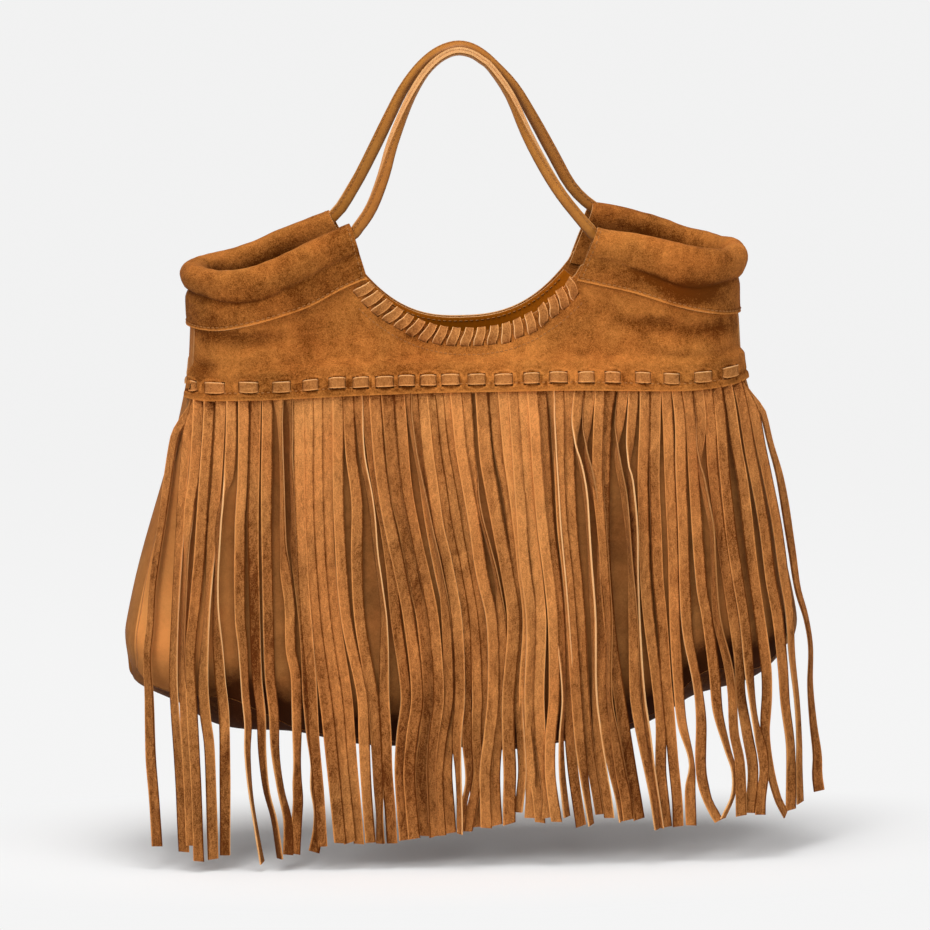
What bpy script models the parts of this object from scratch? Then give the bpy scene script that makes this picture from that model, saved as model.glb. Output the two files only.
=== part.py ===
"""A fringed suede bag, modelled as it hangs by its strap.

Metres, +Z up, and the front faces -Y. The origin is on the strap's underside, at its highest point.
Points are worked out in the bag's own coordinates: across, depth and drop, where drop is the distance
below the origin. hang() turns them into the world's.
"""

import math

import bmesh
import bpy
from mathutils import Vector

MM = 0.001
FRONT, BACK = -1, 1
LEFT, RIGHT = -1, 1

# How it hangs: the bag's middle lies right of the hanging point, and its left side lies a little lower
BAG_SHIFT = 5.5 * MM
HANG_TILT = 0.012

# Heights, as drops below the hanging point
RIM_INNER_DROP = 106 * MM
RIM_OUTER_DROP = 131 * MM
CUFF_LOW_INNER_DROP = 140 * MM
CUFF_LOW_OUTER_DROP = 166 * MM
NECK_DROP = 172.5 * MM
SEAM_DROP = 209.5 * MM
BELLY_DROP = 362 * MM
CORNER_DROP = 384 * MM
BASE_DROP = 436 * MM

# Half-widths, seen from the front: the belly's drives those of the rim, the waist, the seam and the corners
BELLY_HALF_WIDTH = 208 * MM
RIM_HALF_WIDTH = BELLY_HALF_WIDTH - 39.5 * MM
WAIST_HALF_WIDTH = BELLY_HALF_WIDTH - 38.5 * MM
SEAM_HALF_WIDTH = BELLY_HALF_WIDTH - 35 * MM
CORNER_HALF_WIDTH = BELLY_HALF_WIDTH - 4 * MM
RIM_INNER = 80 * MM
NECK_HALF_WIDTH = 66 * MM
NECK_POWER = 2.2
BASE_POWER = 3

# Half-depths, from the middle plane to the inside of the leather
RIM_HALF_DEPTH = 24 * MM
NECK_HALF_DEPTH = 26 * MM
SEAM_HALF_DEPTH = 40 * MM
BELLY_HALF_DEPTH = 54 * MM
BASE_HALF_DEPTH = 46 * MM
# The same at the shoulders, this far from the middle
SHOULDER_AT = 140 * MM
RIM_SHOULDER_DEPTH = 40 * MM
SEAM_SHOULDER_DEPTH = 42 * MM
BELLY_SHOULDER_DEPTH = 50 * MM
BASE_SHOULDER_DEPTH = 44 * MM
# Within this far of the sides and the base the leather turns the corner
EDGE_ROUNDING = 44 * MM
CORNER_SHARPNESS = 4

# The gusset's half-width under the cuffs and along the base, and how far in its seams turn the corner
GUSSET_TOP = 12 * MM
GUSSET_BASE = 26 * MM
CORNER_TURN = 40 * MM

# Leather
SUEDE = 1.6 * MM
BODY_LEATHER = 1.4 * MM
FRINGE_SUEDE = 1.2 * MM
FACING_LEATHER = 1.2 * MM
GAP = 0.4 * MM
FOLD_GAP = 0.6 * MM

# Seam and laces
SEAM_OVERLAP = 5 * MM
LACE_THICKNESS = 1.0 * MM
LACE_GAP = 0.6 * MM
SEAM_LACE_WIDTH = 7 * MM
SEAM_LACE_DROP = SEAM_DROP - 10 * MM
STITCH_LENGTH = 10 * MM
STITCH_SPACING = 6.5 * MM
STITCH_RAMP = 2.4 * MM
STITCH_MARGIN = 9 * MM
STEP_HEIGHT = 7.5 * MM
NECK_LACE_WIDTH = 5.8 * MM
NECK_LACE_SPACING = 1.9 * MM
NECK_LACE_DEPTH = 10 * MM
NECK_LACE_LEAN = 2.2 * MM
NECK_LACE_MARGIN = 6 * MM
FACING_DEPTH = 12 * MM
FACING_MARGIN = 5 * MM

# Fringe: the cuts are as wide as the gap between strips that hang side by side
STRIP_PITCH = 6.5 * MM
STRIP_CUT = 0.6 * MM
FRINGE_LEFT_LENGTH = 286 * MM
FRINGE_RIGHT_LENGTH = 263 * MM
FRINGE_STAND_OFF = 3.6 * MM
CUT_BELOW_SEAM = 1.5 * MM
FRINGE_ROWS = (245 * MM, 285 * MM, 325 * MM, BELLY_DROP)

# Cuffs and strap: a casing's roll fits round the strap, with some slack
STRAP_WIDTH = 7 * MM
STRAP_THICKNESS = 4 * MM
STRAP_CORNER = 1 * MM
STRAP_PAIR_GAP = 2 * MM
CUFF_SLACK = 0.8 * MM
CUFF_ROLL = math.hypot(STRAP_WIDTH, STRAP_THICKNESS) + 2 * (FOLD_GAP + CUFF_SLACK + SUEDE)
CUFF_TUCK = 9 * MM
ROLL_SWEEP = math.radians(200)
ROLL_POINTS = 7
# Half the strap's arch, from its top down to a casing's end, as (across, drop) of its middle line
STRAP_ARCH = (
    (0, 0), (8 * MM, 1 * MM), (15.5 * MM, 5.5 * MM), (23.5 * MM, 15 * MM), (32.5 * MM, 31 * MM),
    (42 * MM, 54 * MM), (50.5 * MM, 75 * MM), (60 * MM, 93 * MM), (69 * MM, 105 * MM),
)
ARCH_SAMPLES = 2

# The cuffs' lower edge, as shares (along, down), and how far their rim bows up
CUFF_LOW_CURVE = ((0, 0), (0.36, 0.48), (0.7, 0.9), (1, 1))
RIM_BOW = 0.3

# How finely the sheets are divided
NECK_COLUMNS = 5
SIDE_COLUMNS = 6
BODY_ROWS = (235 * MM, 265 * MM, 297 * MM, 328 * MM, 350 * MM, 368 * MM)
GUSSET_LINES = (-1, -0.5, 0, 0.5, 1)
ROW_BEND = 4
NECK_STEPS = 400
SLOPE_STEP = 0.2 * MM
SMALLEST_SHARE = 1e-6


def smooth(share):
    share = min(max(share, 0), 1)
    return share * share * (3 - 2 * share)


def mix(first, second, share):
    return first + (second - first) * share


def through(points, place):
    """The height at a place on a smooth curve through (place, height) points, held level past its ends."""
    if place <= points[0][0]:
        return points[0][1]
    if place >= points[-1][0]:
        return points[-1][1]
    last = len(points) - 1
    i = max(k for k in range(last) if points[k][0] <= place)
    (x0, y0), (x1, y1) = points[i], points[i + 1]
    before, after = points[max(i - 1, 0)], points[min(i + 2, last)]
    width = x1 - x0
    slope0 = (y1 - before[1]) / (x1 - before[0])
    slope1 = (after[1] - y0) / (after[0] - x0)
    t = (place - x0) / width
    return (
        (2 * t**3 - 3 * t**2 + 1) * y0
        + (t**3 - 2 * t**2 + t) * width * slope0
        + (3 * t**2 - 2 * t**3) * y1
        + (t**3 - t**2) * width * slope1
    )


def half_width(drop):
    """From the middle to the bag's side at this drop."""
    return through(
        (
            (RIM_OUTER_DROP, RIM_HALF_WIDTH),
            (CUFF_LOW_OUTER_DROP, WAIST_HALF_WIDTH),
            (SEAM_DROP, SEAM_HALF_WIDTH),
            (BELLY_DROP, BELLY_HALF_WIDTH),
            (CORNER_DROP, CORNER_HALF_WIDTH),
        ),
        drop,
    )


def base_drop(across):
    """The drop of the base's lowest line."""
    rise = BASE_DROP - CORNER_DROP
    return BASE_DROP - rise * abs(across / CORNER_HALF_WIDTH) ** BASE_POWER


def full_depth(across, drop):
    """Half the depth where neither side nor base rounds it off. The strap pulls the neck together."""
    middle = through(
        (
            (RIM_INNER_DROP, RIM_HALF_DEPTH),
            (NECK_DROP, NECK_HALF_DEPTH),
            (SEAM_DROP, SEAM_HALF_DEPTH),
            (BELLY_DROP, BELLY_HALF_DEPTH),
            (BASE_DROP, BASE_HALF_DEPTH),
        ),
        drop,
    )
    shoulder = through(
        (
            (RIM_INNER_DROP, RIM_SHOULDER_DEPTH),
            (SEAM_DROP, SEAM_SHOULDER_DEPTH),
            (BELLY_DROP, BELLY_SHOULDER_DEPTH),
            (BASE_DROP, BASE_SHOULDER_DEPTH),
        ),
        drop,
    )
    share = smooth((abs(across) - NECK_HALF_WIDTH) / (SHOULDER_AT - NECK_HALF_WIDTH))
    return mix(middle, shoulder, share)


def half_depth(across, drop):
    """From the middle plane to the inside of the leather. It falls to nothing at the sides and the base."""
    side = max((half_width(drop) - abs(across)) / EDGE_ROUNDING, SMALLEST_SHARE)
    base = max((base_drop(across) - drop) / EDGE_ROUNDING, SMALLEST_SHARE)
    power = -CORNER_SHARPNESS
    near = min((side**power + base**power) ** (1 / power), 1)
    return full_depth(across, drop) * math.sqrt(1 - (1 - near) ** 2)


def skin(across, drop, face):
    """(point, outward normal) on the inside of the leather, at the front or the back."""
    step = SLOPE_STEP
    by_across = (half_depth(across + step, drop) - half_depth(across - step, drop)) / (2 * step)
    by_drop = (half_depth(across, drop + step) - half_depth(across, drop - step)) / (2 * step)
    point = Vector((across, face * half_depth(across, drop), drop))
    return point, Vector((-by_across, face, -by_drop)).normalized()


def gusset_half(drop):
    return mix(GUSSET_TOP, GUSSET_BASE, smooth((drop - SEAM_DROP) / (CORNER_DROP - SEAM_DROP)))


def seam_inset(across, drop, extra=0):
    """How far in from the outline the gusset's seam lies, seen from the front."""
    share = (gusset_half(drop) + extra) / full_depth(across, drop)
    return EDGE_ROUNDING * (1 - math.sqrt(1 - share**2))


def inward(across, drop):
    """The way from the outline into the bag, seen from the front: level at the sides, up along the base."""
    aim_across = math.copysign(min(abs(across), CORNER_HALF_WIDTH - CORNER_TURN), across)
    aim_drop = min(drop, CORNER_DROP - CORNER_TURN)
    return Vector((aim_across - across, 0, aim_drop - drop)).normalized()


def seam_place(across, drop, extra=0):
    """Where a panel's edge lies, next to this point of the outline."""
    place = Vector((across, 0, drop)) + inward(across, drop) * seam_inset(across, drop, extra)
    return place.x, place.z


def panel_half(drop):
    """The half-width of a front or back panel: to its seam with the gusset."""
    return seam_place(half_width(drop), drop, GAP)[0]


def gusset_point(across, drop, line):
    """(point, normal) across the gusset: line is -1 at its front seam, 0 in the middle and 1 at the back."""
    way = inward(across, drop)
    if line == 0:
        return Vector((across, 0, drop)), -way
    place = Vector((across, 0, drop)) + way * seam_inset(across, drop) * line**2
    return skin(place.x, place.z, math.copysign(1, line))


def lattice():
    """Shares of a panel's half-width, from side to side, that every sheet at the seam has its columns on."""
    split = NECK_HALF_WIDTH / panel_half(CUFF_LOW_INNER_DROP)
    shares = [split * i / NECK_COLUMNS for i in range(NECK_COLUMNS + 1)]
    for i in range(1, SIDE_COLUMNS + 1):
        shares.append(split + (1 - split) * math.sin(math.pi / 2 * i / SIDE_COLUMNS))
    return [-share for share in reversed(shares[1:])] + shares


LATTICE = lattice()
NECK_FIRST, NECK_LAST = SIDE_COLUMNS, SIDE_COLUMNS + 2 * NECK_COLUMNS


def hang(point):
    """From the bag's coordinates to the world's."""
    across, depth, drop = point
    share = min(max(drop / RIM_INNER_DROP, 0), 1)
    return Vector((across + BAG_SHIFT * share, depth, HANG_TILT * across - drop))


def material(name, colour, roughness):
    made = bpy.data.materials.new(name)
    made.use_nodes = True
    shader = made.node_tree.nodes["Principled BSDF"]
    shader.inputs["Base Color"].default_value = (*colour, 1)
    shader.inputs["Roughness"].default_value = roughness
    return made


def make_object(name, points, faces, finish):
    """An object of one closed mesh, facing out, from points in the bag's coordinates."""
    mesh = bpy.data.meshes.new(name)
    mesh.from_pydata([hang(point) for point in points], [], faces)
    tidy = bmesh.new()
    tidy.from_mesh(mesh)
    loose = [vertex for vertex in tidy.verts if not vertex.link_faces]
    bmesh.ops.delete(tidy, geom=loose, context="VERTS")
    bmesh.ops.recalc_face_normals(tidy, faces=tidy.faces)
    tidy.to_mesh(mesh)
    tidy.free()
    mesh.shade_smooth()
    mesh.set_sharp_from_angle(angle=math.radians(40))
    made = bpy.data.objects.new(name, mesh)
    made.data.materials.append(finish)
    bpy.context.scene.collection.objects.link(made)
    return made


def thick_sheet(name, grid, offsets, finish, missing=lambda row, column: False):
    """A sheet with two faces and closed edges. grid holds rows of (point, normal), and offsets(row, column)
    gives how far its inner and outer face lie from the point. missing names the cells that are cut away."""
    rows, columns = len(grid), len(grid[0])
    points = []
    for r, line in enumerate(grid):
        for c, (point, normal) in enumerate(line):
            points += [point + normal * offset for offset in offsets(r, c)]

    def corner(r, c, side):
        return 2 * (r * columns + c) + side

    def there(r, c):
        return 0 <= r < rows - 1 and 0 <= c < columns - 1 and not missing(r, c)

    faces = []
    for r in range(rows - 1):
        for c in range(columns - 1):
            if not there(r, c):
                continue
            ring = [(r, c), (r, c + 1), (r + 1, c + 1), (r + 1, c)]
            faces.append([corner(*place, 1) for place in ring])
            faces.append([corner(*place, 0) for place in reversed(ring)])
            beside = [(r - 1, c), (r, c + 1), (r + 1, c), (r, c - 1)]
            for k, neighbour in enumerate(beside):
                if not there(*neighbour):
                    a, b = ring[k], ring[(k + 1) % 4]
                    faces.append([corner(*b, 1), corner(*a, 1), corner(*a, 0), corner(*b, 0)])
    return make_object(name, points, faces, finish)


def sweep(name, rings, closed, finish):
    """A bar with the same number of points in each of its sections, joined end to end or capped."""
    size = len(rings[0])
    points = [point for ring in rings for point in ring]
    faces = []
    for i in range(len(rings) if closed else len(rings) - 1):
        here, there = i * size, (i + 1) % len(rings) * size
        for k in range(size):
            after = (k + 1) % size
            faces.append([here + k, here + after, there + after, there + k])
    if not closed:
        faces.append(list(range(size)))
        faces.append([len(points) - 1 - k for k in range(size)])
    return make_object(name, points, faces, finish)


def cut(target, blocks):
    """Cuts blocks out of an object. Each block is its four near corners and its four far ones."""
    points, faces = [], []
    for block in blocks:
        first = len(points)
        points += block
        faces.append([first + k for k in range(4)])
        faces.append([first + 7 - k for k in range(4)])
        for k in range(4):
            after = (k + 1) % 4
            faces.append([first + k, first + 4 + k, first + 4 + after, first + after])
    cutter = make_object(target.name + "_slots", points, faces, target.data.materials[0])
    cutter.hide_render = True
    cutter.display_type = "WIRE"
    modifier = target.modifiers.new("slots", "BOOLEAN")
    modifier.operation = "DIFFERENCE"
    modifier.object = cutter


def neck_drop(across):
    """The neckline's edge."""
    depth = NECK_DROP - CUFF_LOW_INNER_DROP
    return NECK_DROP - depth * abs(across / NECK_HALF_WIDTH) ** NECK_POWER


def cuff_share(share):
    """0 at a cuff's inner end and 1 at the bag's side."""
    split = LATTICE[NECK_LAST]
    return (abs(share) - split) / (1 - split)


def cuff_low(share):
    return mix(CUFF_LOW_INNER_DROP, CUFF_LOW_OUTER_DROP, through(CUFF_LOW_CURVE, share))


def cuff_rim(share):
    return mix(RIM_INNER_DROP, RIM_OUTER_DROP, share + RIM_BOW * share * (1 - share))


def yoke_top(column):
    """The drop of a yoke's top edge: the neckline, and the tuck inside the cuffs."""
    if NECK_FIRST <= column <= NECK_LAST:
        across = LATTICE[column] * panel_half(CUFF_LOW_INNER_DROP)
        return across, neck_drop(across)
    drop = cuff_low(cuff_share(LATTICE[column])) - CUFF_TUCK
    return LATTICE[column] * panel_half(drop), drop


STEP_DROP = SEAM_LACE_DROP - SEAM_LACE_WIDTH / 2 - LACE_THICKNESS
YOKE_LOW_ROWS = (STEP_DROP - STEP_HEIGHT, STEP_DROP, SEAM_DROP - SEAM_OVERLAP, SEAM_DROP)
SIDE_TOP = CUFF_LOW_OUTER_DROP - CUFF_TUCK
CUT_DROP = SEAM_DROP + CUT_BELOW_SEAM
SIDE_ROWS = (
    SIDE_TOP, mix(SIDE_TOP, YOKE_LOW_ROWS[0], 0.5), *YOKE_LOW_ROWS[:3], CUT_DROP, *BODY_ROWS, CORNER_DROP
)


def yoke_grid(face):
    grid = [[], []]
    for column, share in enumerate(LATTICE):
        across, top = yoke_top(column)
        middle = mix(top, YOKE_LOW_ROWS[0], 0.5)
        grid[0].append(skin(across, top, face))
        grid[1].append(skin(share * panel_half(middle), middle, face))
    for drop in YOKE_LOW_ROWS:
        grid.append([skin(share * panel_half(drop), drop, face) for share in LATTICE])
    return grid


def make_yoke(name, face, under, finish):
    """A yoke panel. Its lower edge steps out over the pieces that are sewn under it."""
    def offsets(row, column):
        inner = under if row > 2 else 0
        return inner, inner + SUEDE

    return thick_sheet(name, yoke_grid(face), offsets, finish)


def make_body_panel(name, face, finish):
    """A domed body panel, from the seam down to the gusset."""
    corner_across, corner_drop = seam_place(CORNER_HALF_WIDTH, CORNER_DROP, GAP)
    top = SEAM_DROP - SEAM_OVERLAP
    edge = []
    for share in LATTICE:
        across = share * CORNER_HALF_WIDTH
        edge.append(seam_place(across, base_drop(across), GAP))
    grid = [[skin(share * panel_half(top), top, face) for share in LATTICE]]
    grid.append([skin(share * panel_half(CUT_DROP), CUT_DROP, face) for share in LATTICE])
    for drop in BODY_ROWS:
        side_across, side_drop = seam_place(half_width(drop), drop, GAP)
        down = (side_drop - CUT_DROP) / (corner_drop - CUT_DROP)
        row = []
        for share, (low_across, low_drop) in zip(LATTICE, edge):
            bent = (low_across - share * corner_across) * down**ROW_BEND
            row.append(skin(share * side_across + bent, mix(CUT_DROP, low_drop, down), face))
        grid.append(row)
    grid.append([skin(across, drop, face) for across, drop in edge])
    return thick_sheet(name, grid, lambda row, column: (0, BODY_LEATHER), finish)


def outline_places():
    """Points along the gusset's middle line, from inside the left cuff round the base to the right one."""
    side = [(half_width(drop), drop) for drop in SIDE_ROWS]
    base = [share * CORNER_HALF_WIDTH for share in LATTICE[1:-1]]
    return (
        [(-across, drop) for across, drop in side]
        + [(across, base_drop(across)) for across in base]
        + side[::-1]
    )


def make_gusset(finish):
    places = outline_places()
    grid = [[gusset_point(*place, line) for place in places] for line in GUSSET_LINES]
    return thick_sheet("side_and_base_gusset", grid, lambda row, column: (0, SUEDE), finish)


class Seam:
    """Places along the front seam, measured along the leather from its left end."""

    def __init__(self, offset):
        line = [skin(share * panel_half(SEAM_DROP), SEAM_DROP, FRONT) for share in LATTICE]
        line = [point + normal * offset for point, normal in line]
        self.lengths = [0]
        for first, second in zip(line, line[1:]):
            self.lengths.append(self.lengths[-1] + (second - first).length)
        self.total = self.lengths[-1]

    def column(self, length):
        """The lattice column there, with a fraction between two columns."""
        last = len(LATTICE) - 2
        i = min(max(k for k in range(last + 1) if self.lengths[k] <= max(length, 0)), last)
        return i + (length - self.lengths[i]) / (self.lengths[i + 1] - self.lengths[i])


def between_columns(column, drop, face=FRONT):
    """(point, normal) on the flat between two lattice columns, where the sheets are, not on the curve."""
    i = min(int(column), len(LATTICE) - 2)
    ends = [skin(LATTICE[k] * panel_half(drop), drop, face) for k in (i, i + 1)]
    share = column - i
    return mix(ends[0][0], ends[1][0], share), mix(ends[0][1], ends[1][1], share)


def column_at(across, drop):
    """The lattice column there, with a fraction between two columns."""
    share = across / panel_half(drop)
    i = max(k for k in range(len(LATTICE) - 1) if LATTICE[k] <= max(share, LATTICE[0]))
    return i + (share - LATTICE[i]) / (LATTICE[i + 1] - LATTICE[i])


def fringe_length(column):
    return mix(FRINGE_LEFT_LENGTH, FRINGE_RIGHT_LENGTH, column / (len(LATTICE) - 1))


def make_fringe(seam, finish):
    """One sheet, cut into strips that lie over the belly and hang straight down from its widest part."""
    count = round(seam.total / STRIP_PITCH)
    pitch = seam.total / count
    columns, cuts = [], []
    for i in range(count):
        first = i * pitch + (STRIP_CUT / 2 if i else 0)
        last = (i + 1) * pitch - (STRIP_CUT / 2 if i < count - 1 else 0)
        bends = [length for length in seam.lengths if first + STRIP_CUT < length < last - STRIP_CUT]
        columns += [seam.column(length) for length in (first, *bends, last)]
        cuts.append(len(columns) - 1)
    inner = BODY_LEATHER + GAP
    header = (SEAM_DROP - SEAM_OVERLAP, CUT_DROP)
    grid = [[between_columns(column, drop) for column in columns] for drop in header]
    furthest = [0] * len(columns)
    for drop in FRINGE_ROWS:
        line = []
        for i, column in enumerate(columns):
            point, normal = between_columns(column, drop)
            point = point + normal * (FRINGE_STAND_OFF - inner)
            furthest[i] = min(furthest[i], point.y)
            line.append((Vector((point.x, furthest[i], drop)), normal))
        grid.append(line)
    tips = []
    for column, (point, normal) in zip(columns, grid[-1]):
        tips.append((Vector((point.x, point.y, CUT_DROP + fringe_length(column))), normal))
    grid.append(tips)

    def missing(row, column):
        return row > 0 and column in cuts

    return thick_sheet("fringe", grid, lambda row, column: (inner, inner + FRINGE_SUEDE), finish, missing)


def stitch_starts(seam):
    pitch = STITCH_LENGTH + STITCH_SPACING
    room = seam.total - 2 * STITCH_MARGIN - STITCH_LENGTH
    count = int(room / pitch) + 1
    first = (seam.total - (count - 1) * pitch - STITCH_LENGTH) / 2
    return [first + i * pitch for i in range(count)]


def make_seam_lace(seam, under, finish):
    """A flat lace that passes in and out of the yoke through a pair of slots for each stitch."""
    outside = under + SUEDE + LACE_GAP + LACE_THICKNESS / 2
    behind = under - LACE_GAP - LACE_THICKNESS / 2
    ramp = STITCH_RAMP / 2
    knots = []
    for start in stitch_starts(seam):
        end = start + STITCH_LENGTH
        knots += [(start - ramp, behind), (start + ramp, outside)]
        knots += [(end - ramp, outside), (end + ramp, behind)]
    tail = STITCH_SPACING / 2
    knots = [(knots[0][0] - tail, behind), *knots, (knots[-1][0] + tail, behind)]
    knots = [(seam.column(length), offset) for length, offset in knots]
    path = list(knots)
    for (start, first), (end, second) in zip(knots, knots[1:]):
        for line in range(math.ceil(start), math.floor(end) + 1):
            if start < line < end:
                path.append((line, mix(first, second, (line - start) / (end - start))))
    path.sort()
    half = SEAM_LACE_WIDTH / 2
    grid = [[between_columns(column, SEAM_LACE_DROP + side) for column, _ in path] for side in (-half, half)]

    def offsets(row, column):
        middle = path[column][1]
        return middle - LACE_THICKNESS / 2, middle + LACE_THICKNESS / 2

    return thick_sheet("seam_lace", grid, offsets, finish)


def seam_slots(seam, under):
    half_slot = (STITCH_RAMP + LACE_THICKNESS) / 2 + LACE_GAP
    half_height = SEAM_LACE_WIDTH / 2 + LACE_GAP
    blocks = []
    for start in stitch_starts(seam):
        for middle in (start, start + STITCH_LENGTH):
            columns = [seam.column(middle + side * half_slot) for side in (-1, 1)]
            block = []
            for offset in (under - SUEDE, under + 2 * SUEDE):
                for column, side in zip((*columns, *columns[::-1]), (-1, -1, 1, 1)):
                    point, normal = between_columns(column, SEAM_LACE_DROP + side * half_height)
                    block.append(point + normal * offset)
            blocks.append(block)
    return blocks


def neck_frame(across, down, along):
    """(across, drop) of a point near the neckline: down from its edge and along it."""
    step = SLOPE_STEP
    slope = (neck_drop(across + step) - neck_drop(across - step)) / (2 * step)
    edge = Vector((1, slope)).normalized()
    place = Vector((across, neck_drop(across))) + edge * along + Vector((-edge.y, edge.x)) * down
    return place.x, place.y


def neck_places():
    """The across of each whipped stitch's hole, at even steps along the neckline."""
    table, length = [(0, 0)], 0
    for i in range(NECK_STEPS):
        a, b = NECK_HALF_WIDTH * i / NECK_STEPS, NECK_HALF_WIDTH * (i + 1) / NECK_STEPS
        length += math.hypot(b - a, neck_drop(b) - neck_drop(a))
        table.append((length, b))
    pitch = NECK_LACE_WIDTH + NECK_LACE_SPACING
    half_count = int((length - NECK_LACE_MARGIN) / pitch)
    places = []
    for i in range(-half_count, half_count + 1):
        reach = abs(i) * pitch
        across = next(b for l, b in table if l >= reach)
        places.append(math.copysign(across, i))
    return places


def neck_place(across, down, along=0, face=FRONT):
    """(point, normal) on the yoke near the neckline."""
    place = neck_frame(across, down, along)
    return between_columns(column_at(*place), place[1], face)


def neck_point(across, down, along, offset):
    """A point of the neck lace or its slots, off the middle of the front yoke's suede."""
    point, normal = neck_place(across, down, along)
    return point + normal * (SUEDE / 2 + offset)


def make_neckline_lace(finish):
    """A flat lace whipped over the neckline: up the front, over the edge, down behind, through a slot."""
    near = SUEDE / 2 + LACE_GAP
    far = near + LACE_THICKNESS
    top = 2 * LACE_GAP
    half = LACE_THICKNESS / 2
    places = neck_places()
    rings = []

    def ring(across, along, near_at, far_at):
        points = []
        for (offset, down), side in ((near_at, -1), (near_at, 1), (far_at, 1), (far_at, -1)):
            points.append(neck_point(across, down, along + side * NECK_LACE_WIDTH / 2, offset))
        rings.append(points)

    for i, across in enumerate(places):
        low = NECK_LACE_DEPTH
        ring(across, 0, (-near, low - half), (-far, low + half))
        ring(across, 0, (near, low - half), (far, low + half))
        if i == len(places) - 1:
            break
        ring(across, NECK_LACE_LEAN, (near, -top), (far, -top - LACE_THICKNESS))
        ring(across, NECK_LACE_LEAN + LACE_THICKNESS, (-near, -top), (-far, -top - LACE_THICKNESS))
    ring(places[-1], 0, (near, low - 3 * half), (far, low - 3 * half))
    return sweep("neckline_lace", rings, False, finish)


def neck_slots():
    half_width_there = NECK_LACE_WIDTH / 2 + LACE_GAP
    half_height = LACE_THICKNESS / 2 + LACE_GAP
    blocks = []
    for across in neck_places():
        block = []
        for offset in (-2 * SUEDE, 2 * SUEDE):
            for side, end in ((-1, -1), (1, -1), (1, 1), (-1, 1)):
                down = NECK_LACE_DEPTH + end * half_height
                block.append(neck_point(across, down, side * half_width_there, offset))
        blocks.append(block)
    return blocks


def make_facing(finish):
    """The band inside the back neckline."""
    reach = NECK_HALF_WIDTH - FACING_MARGIN
    count = 2 * NECK_COLUMNS + 2
    grid = []
    for down in (GAP, FACING_DEPTH / 2, FACING_DEPTH):
        line = []
        for i in range(count + 1):
            across = mix(-reach, reach, i / count)
            line.append(neck_place(across, down, face=BACK))
        grid.append(line)
    offsets = (-FOLD_GAP - FACING_LEATHER, -FOLD_GAP)
    return thick_sheet("back_neck_facing", grid, lambda row, column: offsets, finish)


def cuff_stations(hand):
    """(low point, rim point, normal) at each station round a cuff, from its front end to its back one."""
    places = []
    for face in (FRONT, BACK):
        line = []
        for share in LATTICE[NECK_LAST:]:
            along = cuff_share(share)
            low, rim = cuff_low(along), cuff_rim(along)
            rim_across = mix(RIM_INNER, panel_half(rim), along)
            line.append((skin(share * panel_half(low), low, face), skin(rim_across, rim, face)))
        places.append(line)
    side = []
    for line in GUSSET_LINES[1:-1]:
        ends = [gusset_point(half_width(drop), drop, line) for drop in (cuff_low(1), cuff_rim(1))]
        side.append(tuple(ends))
    stations = []
    for (low, low_normal), (rim, rim_normal) in places[0] + side + places[1][::-1]:
        up = (rim - low).normalized()
        normal = low_normal + rim_normal
        normal = (normal - up * normal.dot(up)).normalized()
        stations.append([Vector((hand * v.x, v.y, v.z)) for v in (low, rim, normal)])
    return stations


def cuff_section(height):
    """A casing folded over the strap, as (out, up) points: up the outer wall, over, down the inner one."""
    wall = SUEDE + FOLD_GAP
    middle = SUEDE / 2
    roll = CUFF_ROLL / 2
    half = SUEDE / 2

    def round_roll(radius):
        points = []
        for i in range(ROLL_POINTS):
            angle = ROLL_SWEEP * (0.5 - i / (ROLL_POINTS - 1))
            points.append((middle + radius * math.sin(angle), height - roll + radius * math.cos(angle)))
        return points

    outside = [(middle + wall + half, 0), (middle + wall + half, CUFF_TUCK)] + round_roll(roll)
    outside += [(middle - wall - half, CUFF_TUCK), (middle - wall - half, 0)]
    inside = [(middle + wall - half, 0), (middle + wall - half, CUFF_TUCK)] + round_roll(roll - SUEDE)
    inside += [(middle - wall + half, CUFF_TUCK), (middle - wall + half, 0)]
    return outside + inside[::-1]


def make_cuff(name, hand, finish):
    rings = []
    for low, rim, normal in cuff_stations(hand):
        up = (rim - low).normalized()
        section = cuff_section((rim - low).length)
        rings.append([low + normal * out + up * height for out, height in section])
    return sweep(name, rings, False, finish)


def casing_path(hand):
    """(middle, width direction) of the strap inside a casing, from its front end to its back one."""
    roll = CUFF_ROLL / 2
    room = math.sqrt((roll - SUEDE) ** 2 - (STRAP_THICKNESS / 2) ** 2)
    up_to = room - FOLD_GAP - STRAP_WIDTH / 2
    path = []
    for low, rim, normal in cuff_stations(hand):
        up = (rim - low).normalized()
        height = (rim - low).length - roll + up_to
        path.append((low + normal * SUEDE / 2 + up * height, up))
    return path


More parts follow.
